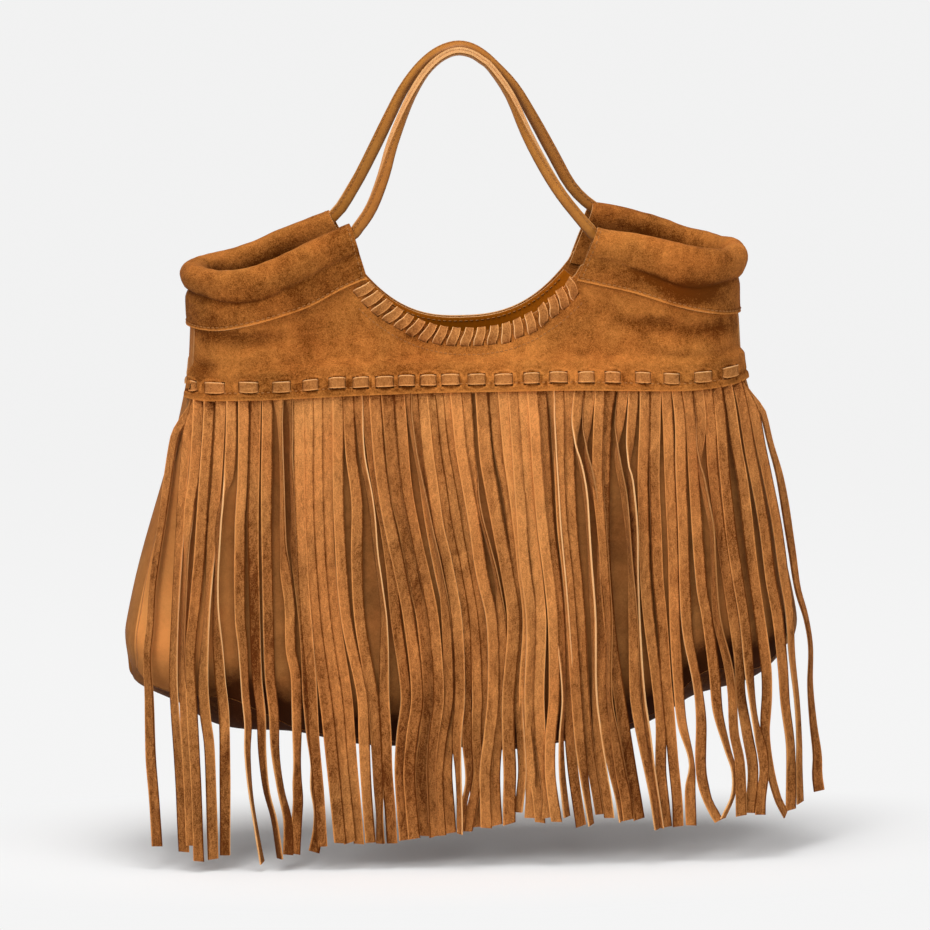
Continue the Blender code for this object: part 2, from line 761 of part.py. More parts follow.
def arch_path(face, ends):
    """(middle, width direction) along one handle, from its left end to its right one."""
    low = STRAP_ARCH[-1][1]
    end_depth = abs(ends[0].y)
    top_depth = (STRAP_WIDTH + STRAP_PAIR_GAP) / 2
    knots = []
    for hand, half in ((LEFT, STRAP_ARCH[::-1]), (RIGHT, STRAP_ARCH[1:])):
        for across, drop in half:
            depth = mix(top_depth, end_depth, smooth(drop / low))
            raised = STRAP_THICKNESS / 2 * (1 - drop / low)
            knots.append(Vector((hand * across, face * depth, drop - raised)))
    knots = [ends[0], *knots, ends[1]]
    path = []
    for i in range(1, len(knots) - 2):
        p0, p1, p2, p3 = knots[i - 1 : i + 3]
        for k in range(ARCH_SAMPLES):
            t = k / ARCH_SAMPLES
            path.append(
                0.5 * (2 * p1 + (p2 - p0) * t + (2 * p0 - 5 * p1 + 4 * p2 - p3) * t**2
                       + (3 * p1 - p0 - 3 * p2 + p3) * t**3)
            )
    path.append(knots[-2])
    turned = []
    for i, point in enumerate(path):
        ahead = (path[min(i + 1, len(path) - 1)] - path[max(i - 1, 0)]).normalized()
        outward = Vector((ahead.z, 0, -ahead.x)).normalized()
        twist = math.pi / 2 * (1 - smooth(point.z / low))
        turned.append((point, outward * math.cos(twist) + Vector((0, 1, 0)) * math.sin(twist)))
    return turned


def make_strap(finish):
    """The strap's whole loop: both handles, and the runs through both casings."""
    left, right = casing_path(LEFT), casing_path(RIGHT)
    front = arch_path(FRONT, (left[0][0], right[0][0]))
    back = arch_path(BACK, (left[-1][0], right[-1][0]))
    path = left + back + right[::-1] + front[::-1]
    half_width_there, half, corner = STRAP_WIDTH / 2, STRAP_THICKNESS / 2, STRAP_CORNER
    section = (
        (half_width_there - corner, half), (half_width_there, half - corner),
        (half_width_there, corner - half), (half_width_there - corner, -half),
        (corner - half_width_there, -half), (-half_width_there, corner - half),
        (-half_width_there, half - corner), (corner - half_width_there, half),
    )
    rings = []
    for i, (point, wide) in enumerate(path):
        ahead = (path[(i + 1) % len(path)][0] - path[i - 1][0]).normalized()
        wide = (wide - ahead * wide.dot(ahead)).normalized()
        thick = ahead.cross(wide)
        rings.append([point + wide * a + thick * b for a, b in section])
    return sweep("handle_strap", rings, True, finish)


def main():
    for old in list(bpy.data.objects):
        bpy.data.objects.remove(old)
    suede = material("suede", (0.42, 0.15, 0.036), 0.95)
    lace_suede = material("lace_suede", (0.46, 0.18, 0.05), 0.9)
    smooth_leather = material("smooth_leather", (0.4, 0.16, 0.045), 0.5)
    body_leather = material("body_leather", (0.44, 0.16, 0.045), 0.7)

    front_under = BODY_LEATHER + GAP + FRINGE_SUEDE + GAP
    back_under = BODY_LEATHER + GAP
    seam = Seam(front_under)
    make_body_panel("front_body_panel", FRONT, body_leather)
    make_body_panel("back_body_panel", BACK, body_leather)
    make_gusset(body_leather)
    front_yoke = make_yoke("front_yoke", FRONT, front_under, suede)
    make_yoke("back_yoke", BACK, back_under, suede)
    cut(front_yoke, seam_slots(seam, front_under) + neck_slots())
    make_fringe(seam, suede)
    make_seam_lace(seam, front_under, lace_suede)
    make_neckline_lace(lace_suede)
    make_facing(smooth_leather)
    make_cuff("left_cuff", LEFT, suede)
    make_cuff("right_cuff", RIGHT, suede)
    make_strap(smooth_leather)


main()
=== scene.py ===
"""How the fringed suede bag looks. Lengths are in millimetres until world() turns them into metres.

Points are worked out in the bag's own coordinates: across, depth and drop, where drop is the distance below
the origin, which is the underside of the strap at its highest point.
"""

import math

import bmesh
import bpy
import numpy as np
from mathutils import Matrix, Vector, noise

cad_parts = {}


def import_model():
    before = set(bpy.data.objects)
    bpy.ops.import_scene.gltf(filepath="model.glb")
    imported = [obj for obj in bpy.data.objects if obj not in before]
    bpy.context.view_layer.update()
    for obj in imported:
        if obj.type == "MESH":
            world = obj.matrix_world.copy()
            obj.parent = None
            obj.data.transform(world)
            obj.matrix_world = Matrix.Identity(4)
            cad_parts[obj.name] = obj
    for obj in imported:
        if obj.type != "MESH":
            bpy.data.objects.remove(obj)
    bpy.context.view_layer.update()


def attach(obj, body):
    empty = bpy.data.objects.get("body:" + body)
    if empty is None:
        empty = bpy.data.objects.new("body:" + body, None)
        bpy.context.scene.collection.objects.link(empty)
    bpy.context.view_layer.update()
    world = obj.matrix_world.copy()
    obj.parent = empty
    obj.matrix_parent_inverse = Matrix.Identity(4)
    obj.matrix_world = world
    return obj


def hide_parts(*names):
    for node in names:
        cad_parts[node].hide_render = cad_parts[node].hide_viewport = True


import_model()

MM = 0.001
FRONT, BACK = -1, 1
LEFT, RIGHT = -1, 1
BAG_SHIFT, HANG_TILT = 5.5, 0.012  # how far to the right the bag hangs under its strap, and its slope
random = np.random.default_rng(11)

# Camera: its direction from the bag, the point it looks at, and the picture's size in dots
AZIMUTH, ELEVATION = math.radians(-5), math.radians(11)
AIM = np.array([4.3, 0, -262.7])
DISTANCE, LENS, SENSOR, IMAGE = 6000, 374.6, 36, 930


CURVE_STEPS = 800


def curve(*points):
    """A smooth curve through (place, height) points, held level past its ends."""
    x, y = np.array(points, float).T
    slope = np.empty(len(x))
    slope[1:-1] = (y[2:] - y[:-2]) / (x[2:] - x[:-2])
    slope[0] = (y[1] - y[0]) / (x[1] - x[0])
    slope[-1] = (y[-1] - y[-2]) / (x[-1] - x[-2])
    at = np.linspace(x[0], x[-1], CURVE_STEPS)
    i = np.clip(np.searchsorted(x, at, side="right") - 1, 0, len(x) - 2)
    width = x[i + 1] - x[i]
    t = (at - x[i]) / width
    height = (
        (2 * t**3 - 3 * t**2 + 1) * y[i]
        + (t**3 - 2 * t**2 + t) * width * slope[i]
        + (3 * t**2 - 2 * t**3) * y[i + 1]
        + (t**3 - t**2) * width * slope[i + 1]
    )
    return lambda place: np.interp(place, at, height)


def smooth(share):
    share = np.clip(share, 0, 1)
    return share * share * (3 - 2 * share)


def mix(first, second, share):
    return first + (second - first) * share


def bell(value, middle, width):
    return np.exp(-(((value - middle) / width) ** 2))


def window(value, low, high, edge):
    return smooth((value - low) / edge) * smooth((high - value) / edge)


# The bag's shape: drops of the back seam and of the base's corners, half widths there and at the cuffs, and how
# far in from its outline the leather rounds off
BACK_SEAM, CORNER = 209.5, 384
YOKE_HALF, CUFF_HALF = 173, 169.5
ROUNDING = 44
half_width = curve((131, 168.5), (166, CUFF_HALF), (BACK_SEAM, YOKE_HALF), (362, 208), (CORNER, 204))
middle_depth = curve((106, 24), (172.5, 26), (BACK_SEAM, 40), (362, 54), (436, 46))
shoulder_depth = curve((106, 40), (BACK_SEAM, 42), (362, 50), (436, 44))
base_drop = curve(
    (-212, 376), (-203, 390), (-194, 396.5), (-175, 407), (-160, 416), (-146, 420.5), (-108, 426), (-80, 432),
    (-36, 437), (10, 440), (50, 440), (75, 436), (101, 431), (127, 420.5), (143, 412), (159, 407), (179, 400),
    (192, 391), (204, 376),
)
seam_drop = curve(
    (-176, 212.9), (-165, 212.7), (-147, 210.6), (-136, 210), (-98, 209.6), (-45, 209.3), (0, 209.2),
    (54, 209.8), (95, 210.8), (160, 211.3), (176, 210.4),
)
# How much further in than at the back the front's lower seam lies
front_seam_rise = curve(
    (-200, 0), (-187, 2), (-168, 10), (-149, 17), (-128, 10), (-112, 3), (-104, 0), (75, 0), (101, 1), (122, 2),
    (130, 7), (138, 12), (152, 15), (172, 7), (190, 0),
)
SUEDE, BODY = 1.6, 1.4  # thicknesses
UNDER_FRONT, UNDER_BACK = 3.4, 1.8  # what lies under the yokes' lower edges
TUCK = 4.6  # how far the body panels reach up under the yokes
SEAM_GAP = 0.4  # between a panel and the gusset
NECK_HALF, NECK_LOW, NECK_TOP = 66, 173.6, 140


def full_depth(across, drop):
    share = smooth((np.abs(across) - NECK_HALF) / (140 - NECK_HALF))
    return mix(middle_depth(drop), shoulder_depth(drop), share)


def half_depth(across, drop):
    """From the middle plane to the inside of the leather. It falls to nothing at the sides and the base."""
    side = np.maximum((half_width(drop) - np.abs(across)) / ROUNDING, 1e-6)
    base = np.maximum((base_drop(across) - drop) / ROUNDING, 1e-6)
    near = np.minimum((side**-4.0 + base**-4.0) ** -0.25, 1)
    return full_depth(across, drop) * np.sqrt(1 - (1 - near) ** 2)


def skin(across, drop, face, offset=0):
    """Points this far outside the inside of the leather, at the front or the back."""
    across, drop = np.broadcast_arrays(np.asarray(across, float), np.asarray(drop, float))
    step = 0.3
    by_across = (half_depth(across + step, drop) - half_depth(across - step, drop)) / (2 * step)
    by_drop = (half_depth(across, drop + step) - half_depth(across, drop - step)) / (2 * step)
    normal = np.stack((-by_across, np.full(across.shape, float(face)), -by_drop), -1)
    normal /= np.linalg.norm(normal, axis=-1, keepdims=True)
    point = np.stack((across, face * half_depth(across, drop), drop), -1)
    return point + normal * np.asarray(offset, float)[..., None]


def folds(across, depth, drop):
    """How far soft folds and sagging push the leather out, at the front and the back."""
    front = (
        -4.2 * bell(drop, 178 + 0.03 * across, 5) * window(across, -168, -105, 22)
        + 2.2 * bell(drop, 188, 6) * window(across, -166, -100, 25)
        - 4.0 * bell(drop, 170 + 0.10 * (across - 100), 5) * window(across, 88, 172, 25)
        + 2.4 * bell(drop, 181 + 0.12 * (across - 100), 6) * window(across, 90, 170, 25)
        - 3.0 * bell(across, -163, 7) * bell(drop, 194, 6)
        + 1.1 * np.sin(across / 17 + drop / 31) * bell(drop, 190, 22)
        + 0.7 * np.sin(across / 9.5 - drop / 15 + 2) * bell(drop, 188, 16)
        + 2.2 * np.sin(across / 43 + 0.9) * bell(drop, 330, 80)
        + 1.2 * np.sin(across / 16 - drop / 40) * bell(drop, 350, 70)
    )
    back = (
        1.6 * np.sin(across / 21 + drop / 27 + 1) * bell(drop, 188, 24)
        + 2.6 * np.sin(across / 37 + drop / 90) * bell(drop, 330, 80)
        + 1.5 * np.sin(across / 15 - drop / 33) * bell(drop, 360, 70)
        - 2.2 * bell(drop, 176, 6) * window(np.abs(across), 90, 165, 25)
    )
    return np.sign(depth) * smooth(np.abs(depth) / 26) * np.where(depth < 0, front, back)


def sideways(drop):
    """How far to the right the bag hangs there."""
    return BAG_SHIFT * np.clip(drop / 106, 0, 1) - 3.4 * smooth((drop - 225) / 110)


# How much narrower the top hangs on the right than on the left
narrower = curve(
    (80, 1), (125, 2.5), (140, 3.4), (165, 3.2), (175, 2.5), (203, 2.2), (213, 1.5), (228, 0.3), (240, 0), (600, 0),
)


def world(points):
    """Rows of (x, y, z) in metres from points in the bag's own coordinates."""
    points = np.asarray(points, float).reshape(-1, 3)
    across, depth, drop = points.T
    depth = depth + folds(across, depth, drop)
    across = across - narrower(drop) * smooth((across - 70) / 95)
    return np.column_stack((across + sideways(drop), depth, HANG_TILT * across - drop)) * MM


# The camera's place, and where a place in the photograph lies on a plane of the bag
toward = np.array([
    math.sin(AZIMUTH) * math.cos(ELEVATION), -math.cos(AZIMUTH) * math.cos(ELEVATION), math.sin(ELEVATION),
])
eye = AIM + DISTANCE * toward
to_right = np.cross(-toward, (0, 0, 1))
to_right /= np.linalg.norm(to_right)
upward = np.cross(to_right, -toward)
FOCAL = IMAGE * LENS / SENSOR


def placed(px, py, depth):
    """(across, drop) of the point at this depth that shows at a place in the picture."""
    way = -toward + to_right * (px - IMAGE / 2) / FOCAL + upward * (IMAGE / 2 - py) / FOCAL
    point = eye + way * (depth - eye[1]) / way[1]
    across = point[0]
    for _ in range(3):
        drop = HANG_TILT * across - point[2]
        across = point[0] - sideways(drop)
    return across, HANG_TILT * across - point[2]


# Meshes
def put(name, data):
    made = bpy.data.objects.new(name, data)
    bpy.context.scene.collection.objects.link(made)
    return made


def solid(name, points, faces):
    """A new object from points in metres, its faces turned outward."""
    mesh = bpy.data.meshes.new(name)
    mesh.from_pydata(points.tolist(), [], faces)
    turned = bmesh.new()
    turned.from_mesh(mesh)
    bmesh.ops.recalc_face_normals(turned, faces=turned.faces)
    turned.to_mesh(mesh)
    turned.free()
    return put(name, mesh)


def smoothed(mesh, angle=45):
    mesh.shade_smooth()
    mesh.set_sharp_from_angle(angle=math.radians(angle))


def add(name, points, faces, finishes, which, tone, node=True, angle=45):
    """One piece from points in metres, which may stand for the node of its name.

    which gives each face its material; the next list gives each point its lightness, painted light and shade
    included.
    """
    made = solid(name + "_detail" if node else name, points, faces)
    mesh = made.data
    for finish in finishes:
        mesh.materials.append(finish)
    mesh.polygons.foreach_set("material_index", np.asarray(which, np.int32))
    if tone is not None:
        mesh.attributes.new("tone", "FLOAT", "POINT").data.foreach_set("value", np.asarray(tone, np.float32))
    smoothed(mesh, angle)
    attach(made, "root")
    if node:
        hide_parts(name)
    return made


def sheet_faces(rows, columns):
    """Faces of a closed sheet of two grids, and which of them are its cut edges."""
    index = np.arange(rows * columns).reshape(rows, columns)
    near = np.stack((index[:-1, :-1], index[:-1, 1:], index[1:, 1:], index[1:, :-1]), -1).reshape(-1, 4)
    ring = np.concatenate((index[0], index[1:, -1], index[-1, -2::-1], index[-2:0:-1, 0]))
    after, size = np.roll(ring, -1), rows * columns
    side = np.column_stack((after, ring, ring + size, after + size))
    faces = np.vstack((near, near[:, ::-1] + size, side))
    return faces.tolist(), [0] * (2 * len(near)) + [1] * len(side)


def sheet(name, outer, inner, finishes, tone=None):
    """A closed sheet between two grids of points, with a shade for each place in the grid."""
    faces, which = sheet_faces(*outer.shape[:2])
    if tone is not None:
        tone = np.tile(tone.ravel(), 2)
    return add(name, world(np.stack((outer, inner))), faces, finishes, which, tone)


def unit(vectors):
    return vectors / np.maximum(np.linalg.norm(vectors, axis=-1, keepdims=True), 1e-9)


def along(points):
    """A smooth path through the points, three steps to each."""
    points = np.asarray(points, float)
    p = np.vstack((2 * points[0] - points[1], points, 2 * points[-1] - points[-2]))
    p0, p1, p2, p3 = (p[i : len(p) - 3 + i, None] for i in range(4))
    t = np.array([0, 1 / 3, 2 / 3])[:, None]
    out = 2 * p1 + (p2 - p0) * t + (2 * p0 - 5 * p1 + 4 * p2 - p3) * t**2 + (3 * p1 - p0 - 3 * p2 + p3) * t**3
    return np.vstack((0.5 * out.reshape(-1, points.shape[1]), points[-1]))


def bar(path, wide, section, closed=False):
    """Points and faces of a bar with this (wide, thick) section along a path."""
    ahead = np.roll(path, -1, 0) - np.roll(path, 1, 0)
    if not closed:
        ahead[0], ahead[-1] = path[1] - path[0], path[-1] - path[-2]
    ahead = unit(ahead)
    wide = unit(wide - ahead * (wide * ahead).sum(-1, keepdims=True))
    thick = np.cross(ahead, wide)
    section = np.asarray(section, float)
    if section.ndim == 2:
        section = np.broadcast_to(section, (len(path), *section.shape))
    points = path[:, None] + wide[:, None] * section[..., :1] + thick[:, None] * section[..., 1:]
    size, count = section.shape[1], len(path)
    index = np.arange(count * size).reshape(count, size)
    nxt = np.roll(index, -1, 0) if closed else index[1:]
    here = index if closed else index[:-1]
    faces = np.stack((here, np.roll(here, -1, 1), np.roll(nxt, -1, 1), nxt), -1).reshape(-1, 4).tolist()
    if not closed:
        faces += [index[0, ::-1].tolist(), index[-1].tolist()]
    return points.reshape(-1, 3), faces


class Pile:
    """Bars and sheets gathered into one piece."""

    def __init__(self):
        self.points, self.faces, self.which, self.tone, self.size = [], [], [], [], 0

    def add(self, points, faces, which=None, tone=0):
        self.points.append(points)
        self.faces += [[self.size + i for i in face] for face in faces]
        self.which += list(which) if which is not None else [0] * len(faces)
        self.tone.append(np.broadcast_to(tone, len(points)))
        self.size += len(points)

    def make(self, name, finishes, node=True, angle=45):
        points, tone = world(np.concatenate(self.points)), np.concatenate(self.tone)
        return add(name, points, self.faces, finishes, self.which, tone, node, angle)


def strip_section(width, thickness, curl):
    """A flat strip's section with cut edges, slightly curled."""
    across = np.array([-0.5, -0.45, -0.36, 0.36, 0.45, 0.5])
    bend = curl * (4 * across**2 - 0.4)
    rise = np.array([0.34, 0.5, 0.5, 0.5, 0.5, 0.34]) * thickness
    top = np.column_stack((across * width, bend + rise))
    low = np.column_stack((across * width, bend - rise))[::-1]
    return np.vstack((top, low))


# Which faces round a strip are its cut edges, and the shade of a lace's points round its section
STRIP_EDGES = [1, 0, 0, 0, 0, 1, 0, 0, 0, 0, 0, 1]
LACE_TONE = np.array([0.5, 0.4, -0.12, -0.12, 0.4, 0.5] * 2)


def strip(path, wide, section):
    """Points and faces of a flat strip along a path, and which faces are its cut edges and ends."""
    points, faces = bar(path, wide, section)
    return points, faces, [STRIP_EDGES[k % len(STRIP_EDGES)] for k in range(len(faces) - 2)] + [1, 1]


def block(corner, offsets):
    """A slot's four near and four far corners, from corner(first side, second side, offset)."""
    sides = ((-1, -1), (1, -1), (1, 1), (-1, 1))
    return [corner(first, second, offset) for offset in offsets for first, second in sides]


def cut(target, blocks):
    """Cuts slots, each given by its block."""
    faces = []
    for f in range(0, 8 * len(blocks), 8):
        faces += [[f, f + 1, f + 2, f + 3], [f + 7, f + 6, f + 5, f + 4]]
        faces += [[f + k, f + 4 + k, f + 4 + (k + 1) % 4, f + (k + 1) % 4] for k in range(4)]
    cutter = solid("slots", world(np.array(blocks).reshape(-1, 3)), faces)
    modifier = target.modifiers.new("slots", "BOOLEAN")
    modifier.operation, modifier.solver, modifier.object = "DIFFERENCE", "EXACT", cutter
    modifier.use_self = True
    bpy.context.view_layer.objects.active = target
    bpy.ops.object.modifier_apply(modifier=modifier.name)
    bpy.data.objects.remove(cutter)
    smoothed(target.data)


def path_length(points):
    """How far along the path each point lies."""
    return np.concatenate(([0], np.cumsum(np.linalg.norm(np.diff(points, axis=0), axis=1))))


def stitches(name, paths, pitch=3.4, length=2.3, radius=0.32):
    """Rows of thread stitches along (points, normals) paths."""
    pile = Pile()
    ring = np.array([(radius * math.cos(a), radius * 0.8 * math.sin(a)) for a in np.linspace(0, 2 * math.pi, 7)[:-1]])
    section = ring[None] * np.array([0.5, 1, 1, 1, 0.5])[:, None, None]
    for points, normals in paths:
        run = path_length(points)
        for start in np.arange(pitch / 2, run[-1] - length, pitch):
            spots, outs = [], []
            for share, lift in ((0, -0.35), (0.15, 0.1), (0.5, 0.24), (0.85, 0.1), (1, -0.35)):
                at = start + length * share
                point, out = (np.array([np.interp(at, run, v) for v in rows.T]) for rows in (points, normals))
                out = unit(out)
                spots.append(point + out * lift)
                outs.append(out)
            pile.add(*bar(np.array(spots), np.cross(outs, np.gradient(spots, axis=0)), section))
    return pile.make(name, [thread], node=False, angle=80)


# Materials
def graph(name):
    """A new material and its shader, and functions that add a node or a sum to it."""
    made = bpy.data.materials.new(name)
    made.use_nodes = True
    tree = made.node_tree
    shader = tree.nodes["Principled BSDF"]

    def node(kind, inputs=(), **settings):
        new = tree.nodes.new("ShaderNode" + kind)
        for key, value in settings.items():
            setattr(new, key, value)
        for key, value in dict(inputs).items():
            if isinstance(value, bpy.types.NodeSocket):
                tree.links.new(value, new.inputs[key])
            else:
                new.inputs[key].default_value = value
        return new

    def calc(operation, first, second):
        return node("Math", {0: first, 1: second}, operation=operation).outputs[0]

    return made, shader, node, calc


SHEEN_TINT = (1, 0.6, 0.3)


def leather(name, dark, light, roughness, sheen, patches, grain, bump, streak=1.0):
    """A mottled hide between two colours: patches of nap in three sizes, with a fine grain over them, shifted at
    each point by its own lightness, painted light and shade included.
    """
    made, shader, node, calc = graph(name)
    place = node("TexCoord").outputs["Object"]
    stretched = node("Mapping", {"Vector": place, "Scale": (1, 1, streak)}).outputs["Vector"]

    def speckle(scale, detail, vector=stretched, rough=0.55, warp=0.0):
        return node("TexNoise", {
            "Vector": vector, "Scale": scale, "Detail": detail, "Roughness": rough, "Distortion": warp,
        }).outputs["Fac"]

    def ramp(level, *stops):
        new = node("ValToRGB", {"Fac": level})
        for element, (position, colour) in zip(new.color_ramp.elements, stops):
            element.position, element.color = position, (*colour, 1)
        return new.outputs["Color"]

    large = speckle(22, 3, rough=0.6, warp=0.6)
    medium = speckle(95, 4, rough=0.65, warp=0.8)
    small = speckle(420, 3, rough=0.7, warp=1.3)
    fine = speckle(1500, 2, place, 0.8)
    total = 0.0
    for source, weight in zip((large, medium, small, fine), (*patches, grain)):
        total = calc("ADD", total, calc("MULTIPLY", calc("SUBTRACT", source, 0.5), weight))
    # Each point's lightness, with the painted light and shade added to it, read from its attribute
    shade = node("Attribute", attribute_name="tone", attribute_type="GEOMETRY").outputs["Fac"]
    total = calc("ADD", calc("ADD", total, shade), 0.5)
    hues = ramp(speckle(26, 2, warp=0.5), (0.34, (1, 0.925, 0.88)), (0.66, (0.98, 1, 1)))
    dyed = node("VectorMath", {0: ramp(total, (0, dark), (1, light)), 1: hues}, operation="MULTIPLY")
    made.node_tree.links.new(dyed.outputs["Vector"], shader.inputs["Base Color"])
    height = calc("ADD", calc("MULTIPLY", small, 0.8), calc("MULTIPLY", fine, 0.7))
    height = calc("ADD", height, calc("MULTIPLY", medium, 1.2))
    bumped = node("Bump", {"Height": height, "Strength": bump[0], "Distance": bump[1]})
    made.node_tree.links.new(bumped.outputs["Normal"], shader.inputs["Normal"])
    settings = {
        "Roughness": roughness, "Specular IOR Level": 0.05 if roughness > 0.7 else 0.25, "Sheen Weight": sheen,
        "Sheen Roughness": 0.45, "Sheen Tint": (*SHEEN_TINT, 1),
    }
    for key, value in settings.items():
        shader.inputs[key].default_value = value
    return made


# Dark and light colour, roughness, sheen, weights of the large, medium and small patches, grain, strength and
# distance of the bump, and how drawn out the patches are
HIDES = {
    "suede": ((0.120, 0.029, 0.002), (0.61, 0.219, 0.0455), 0.95, 0.06, (1.05, 0.85, 1.0), 1.6, (0.6, 0.0008)),
    "suede_edge": ((0.38, 0.155, 0.045), (0.87, 0.49, 0.215), 0.95, 0.05, (0.3, 0.3, 0.5), 0.4, (0.4, 0.0004)),
    "fringe_suede": (
        (0.110, 0.028, 0.004), (0.735, 0.298, 0.085), 0.93, 0.06, (0.8, 0.95, 1.0), 1.4, (0.7, 0.0008), 0.4,
    ),
    "lace_suede": ((0.18, 0.053, 0.009), (0.745, 0.313, 0.093), 0.93, 0.05, (0.3, 0.7, 1.0), 1.0, (0.7, 0.0007)),
    "strap_leather": (
        (0.10, 0.027, 0.002), (0.65, 0.253, 0.037), 0.5, 0.0, (0.25, 0.35, 0.35), 0.25, (0.25, 0.00025),
    ),
    "facing_leather": ((0.31, 0.077, 0.001), (0.76, 0.213, 0.004), 0.5, 0.0, (0.25, 0.3, 0.2), 0.12, (0.2, 0.0002)),
    "body_leather": ((0.055, 0.014, 0.002), (0.75, 0.303, 0.083), 0.72, 0.0, (0.35, 0.3, 0.2), 0.2, (0.25, 0.00025)),
    "thread": ((0.22, 0.080, 0.020), (0.52, 0.24, 0.08), 0.8, 0.0, (0.2, 0.2, 0.3), 0.3, (0.3, 0.0002)),
}
suede, suede_edge, fringe_suede, lace_suede, strap_leather, facing_leather, body_leather, thread = (
    leather(name, *values) for name, values in HIDES.items()
)
SUEDES = [suede, suede_edge]


# Outline, panels and gusset
def full_half_gusset(drop):
    """Half the gusset's width: narrow at the mouth and widest at the base."""
    return mix(12, 26, smooth((drop - BACK_SEAM) / (CORNER - BACK_SEAM)))


def inward(across, drop):
    """The way from the outline to the inside, round the lower corners' centres."""
    beside, below = 164, 344
    way = (np.sign(across) * np.minimum(np.abs(across), beside) - across, np.minimum(drop, below) - drop)
    return unit(np.stack(way, -1))


def seam_place(across, drop, extra=0.0, face=BACK):
    """Where a panel's edge lies, next to this point of the outline."""
    share = (full_half_gusset(drop) + extra) / full_depth(across, drop)
    inset = ROUNDING * (1 - np.sqrt(1 - share**2))
    if face == FRONT:
        inset = inset + front_seam_rise(across) * smooth((drop - CORNER + 10) / 14)
    place = np.stack((across, drop), -1) + inward(across, drop) * inset[..., None]
    return place[..., 0], place[..., 1]


def lower_seam(shares, face):
    """The drop of a yoke's lower seam, at these shares of its half width."""
    return seam_drop(shares * YOKE_HALF) if face == FRONT else np.full(len(shares), BACK_SEAM)


def panel_half(drop):
    drop = np.asarray(drop, float)
    return seam_place(half_width(drop), drop, SEAM_GAP)[0]


def base_places(shares):
    """The outline from corner to corner along the base."""
    across = shares * mix(207, 201, (shares + 1) / 2)
    return across, base_drop(across)


def crowded(count, share):
    """Places from -1 to 1 that lie closer together toward both ends."""
    return np.sin(np.linspace(-1, 1, count) * math.pi / 2 * share) / math.sin(math.pi / 2 * share)


def make_body_panel(name, face):
    shares = crowded(150, 0.96)
    low_across, low_drop = seam_place(*base_places(shares), SEAM_GAP, face)
    corner = abs(low_across[-1])
    downs = np.linspace(0, 1, 90)
    top = lower_seam(shares, face) - TUCK
    rows = []
    for down in downs**0.9:
        drop = mix(top, low_drop, down)
        side_drop = mix(205, (low_drop[0] + low_drop[-1]) / 2, down)
        half = panel_half(side_drop)
        bent = (low_across - shares * corner) * down**4
        rows.append(np.stack((shares * mix(half, corner, down**8) + bent, drop), -1))
    grid = np.array(rows)
    across, drop = grid[..., 0], grid[..., 1]
    rim = bell(np.abs(shares), 1, 0.012)[None] + bell(downs, 1, 0.02)[:, None]
    lip = 0.5 * np.minimum(rim, 1)
    outer, inner = skin(across, drop, face, BODY + lip), skin(across, drop, face, lip)
    # Lighter at the lower left; painted shade darkens each panel where it turns under at the base, and the front
    # behind the fringe, all but its left end.
    tone = 0.12 + 0.38 * bell(across, -200, 40) * smooth((drop - 300) / 60)
    tone = tone - 0.55 * smooth((drop - low_drop[None] + 30) / 30)
    if face == FRONT:
        tone = tone - 0.34 * smooth((across + 172) / 40)
    return sheet(name, outer, inner, [body_leather, suede_edge], tone)


def make_gusset():
    side = np.linspace(157, CORNER, 70)
    base = crowded(130, 0.97)
    base_across, base_low = base_places(base)
    across = np.concatenate((-half_width(side)[:-1], base_across, half_width(side)[::-1][1:]))
    drop = np.concatenate((side[:-1], base_low, side[::-1][1:]))
    for first, last in 8 * ((55, 85), (184, 214)):  # rounds the two corners
        for line in (across, drop):
            line[first:last] = (line[first - 1 : last - 1] + line[first:last] + line[first + 1 : last + 1]) / 3
    outer, inner = [], []
    middle_way = inward(across, drop)
    for line in np.linspace(-1, 1, 41):
        face = FRONT if line < 0 else BACK
        seam = np.stack(seam_place(across, drop, 0.0, face), -1)
        place = np.stack((across, drop), -1) + (seam - np.stack((across, drop), -1)) * line**2
        a, d = place[:, 0], place[:, 1]
        lip = 0.6 * bell(abs(line), 1, 0.05)
        sag = 1.2 * np.sin(across / 13 + line) * (1 - line**2) * smooth((drop - 380) / 30)
        if abs(line) < 1e-9:
            point = np.stack((a, np.zeros(len(a)), d), -1)
            normal = np.stack((-middle_way[:, 0], np.zeros(len(a)), -middle_way[:, 1]), -1)
            outer.append(point + normal * (SUEDE + sag)[:, None])
            inner.append(point + normal * sag[:, None])
        else:
            outer.append(skin(a, d, face, SUEDE + lip + sag))
            inner.append(skin(a, d, face, lip + sag))
    outer, inner = np.array(outer), np.array(inner)
    # Painted shade darkens the base where it turns under; the sides are a little darker below the mouth.
    low = smooth((drop - 362) / 44)
    tone = np.broadcast_to(-0.5 * low - 0.05 * (1 - low) * smooth((drop - 210) / 30), outer.shape[:2])
    return sheet("side_and_base_gusset", outer, inner, [body_leather, suede_edge], tone)


def neck_drop(across, face=FRONT):
    """The neckline."""
    power = 2.35 if face == FRONT else 2.5
    return NECK_LOW - (NECK_LOW - NECK_TOP) * np.abs(across / NECK_HALF) ** power


# Cuffs: (across, drop) along their rim and their lower edge, from the inner end to the side
RIMS = {
    LEFT: curve((66, 102), (79, 106.3), (112, 119.5), (132, 127.2), (150, 131), (169, 131.5)),
    RIGHT: curve((66, 103), (79, 107.5), (98, 111.5), (120, 117), (143, 124), (160, 127), (169, 127)),
}
LOWS = {
    LEFT: curve((66, 139.5), (82, 145.5), (101, 154), (121, 159.5), (140, 164.5), (154, 168), (169.5, 169)),
    RIGHT: curve((66, 141), (83, 145), (102, 149.5), (130, 159), (150, 165), (169.5, 169.5)),
}


def yoke_top(across, face):
    """The drop of a yoke's top edge: the neckline, and the tuck inside the cuffs."""
    size = np.abs(across)
    tuck = np.where(across < 0, LOWS[LEFT](size), LOWS[RIGHT](size)) - 9
    share = smooth((size - NECK_HALF) / 5)
    return np.where(size <= NECK_HALF, neck_drop(across, face), mix(NECK_TOP, tuck, share))


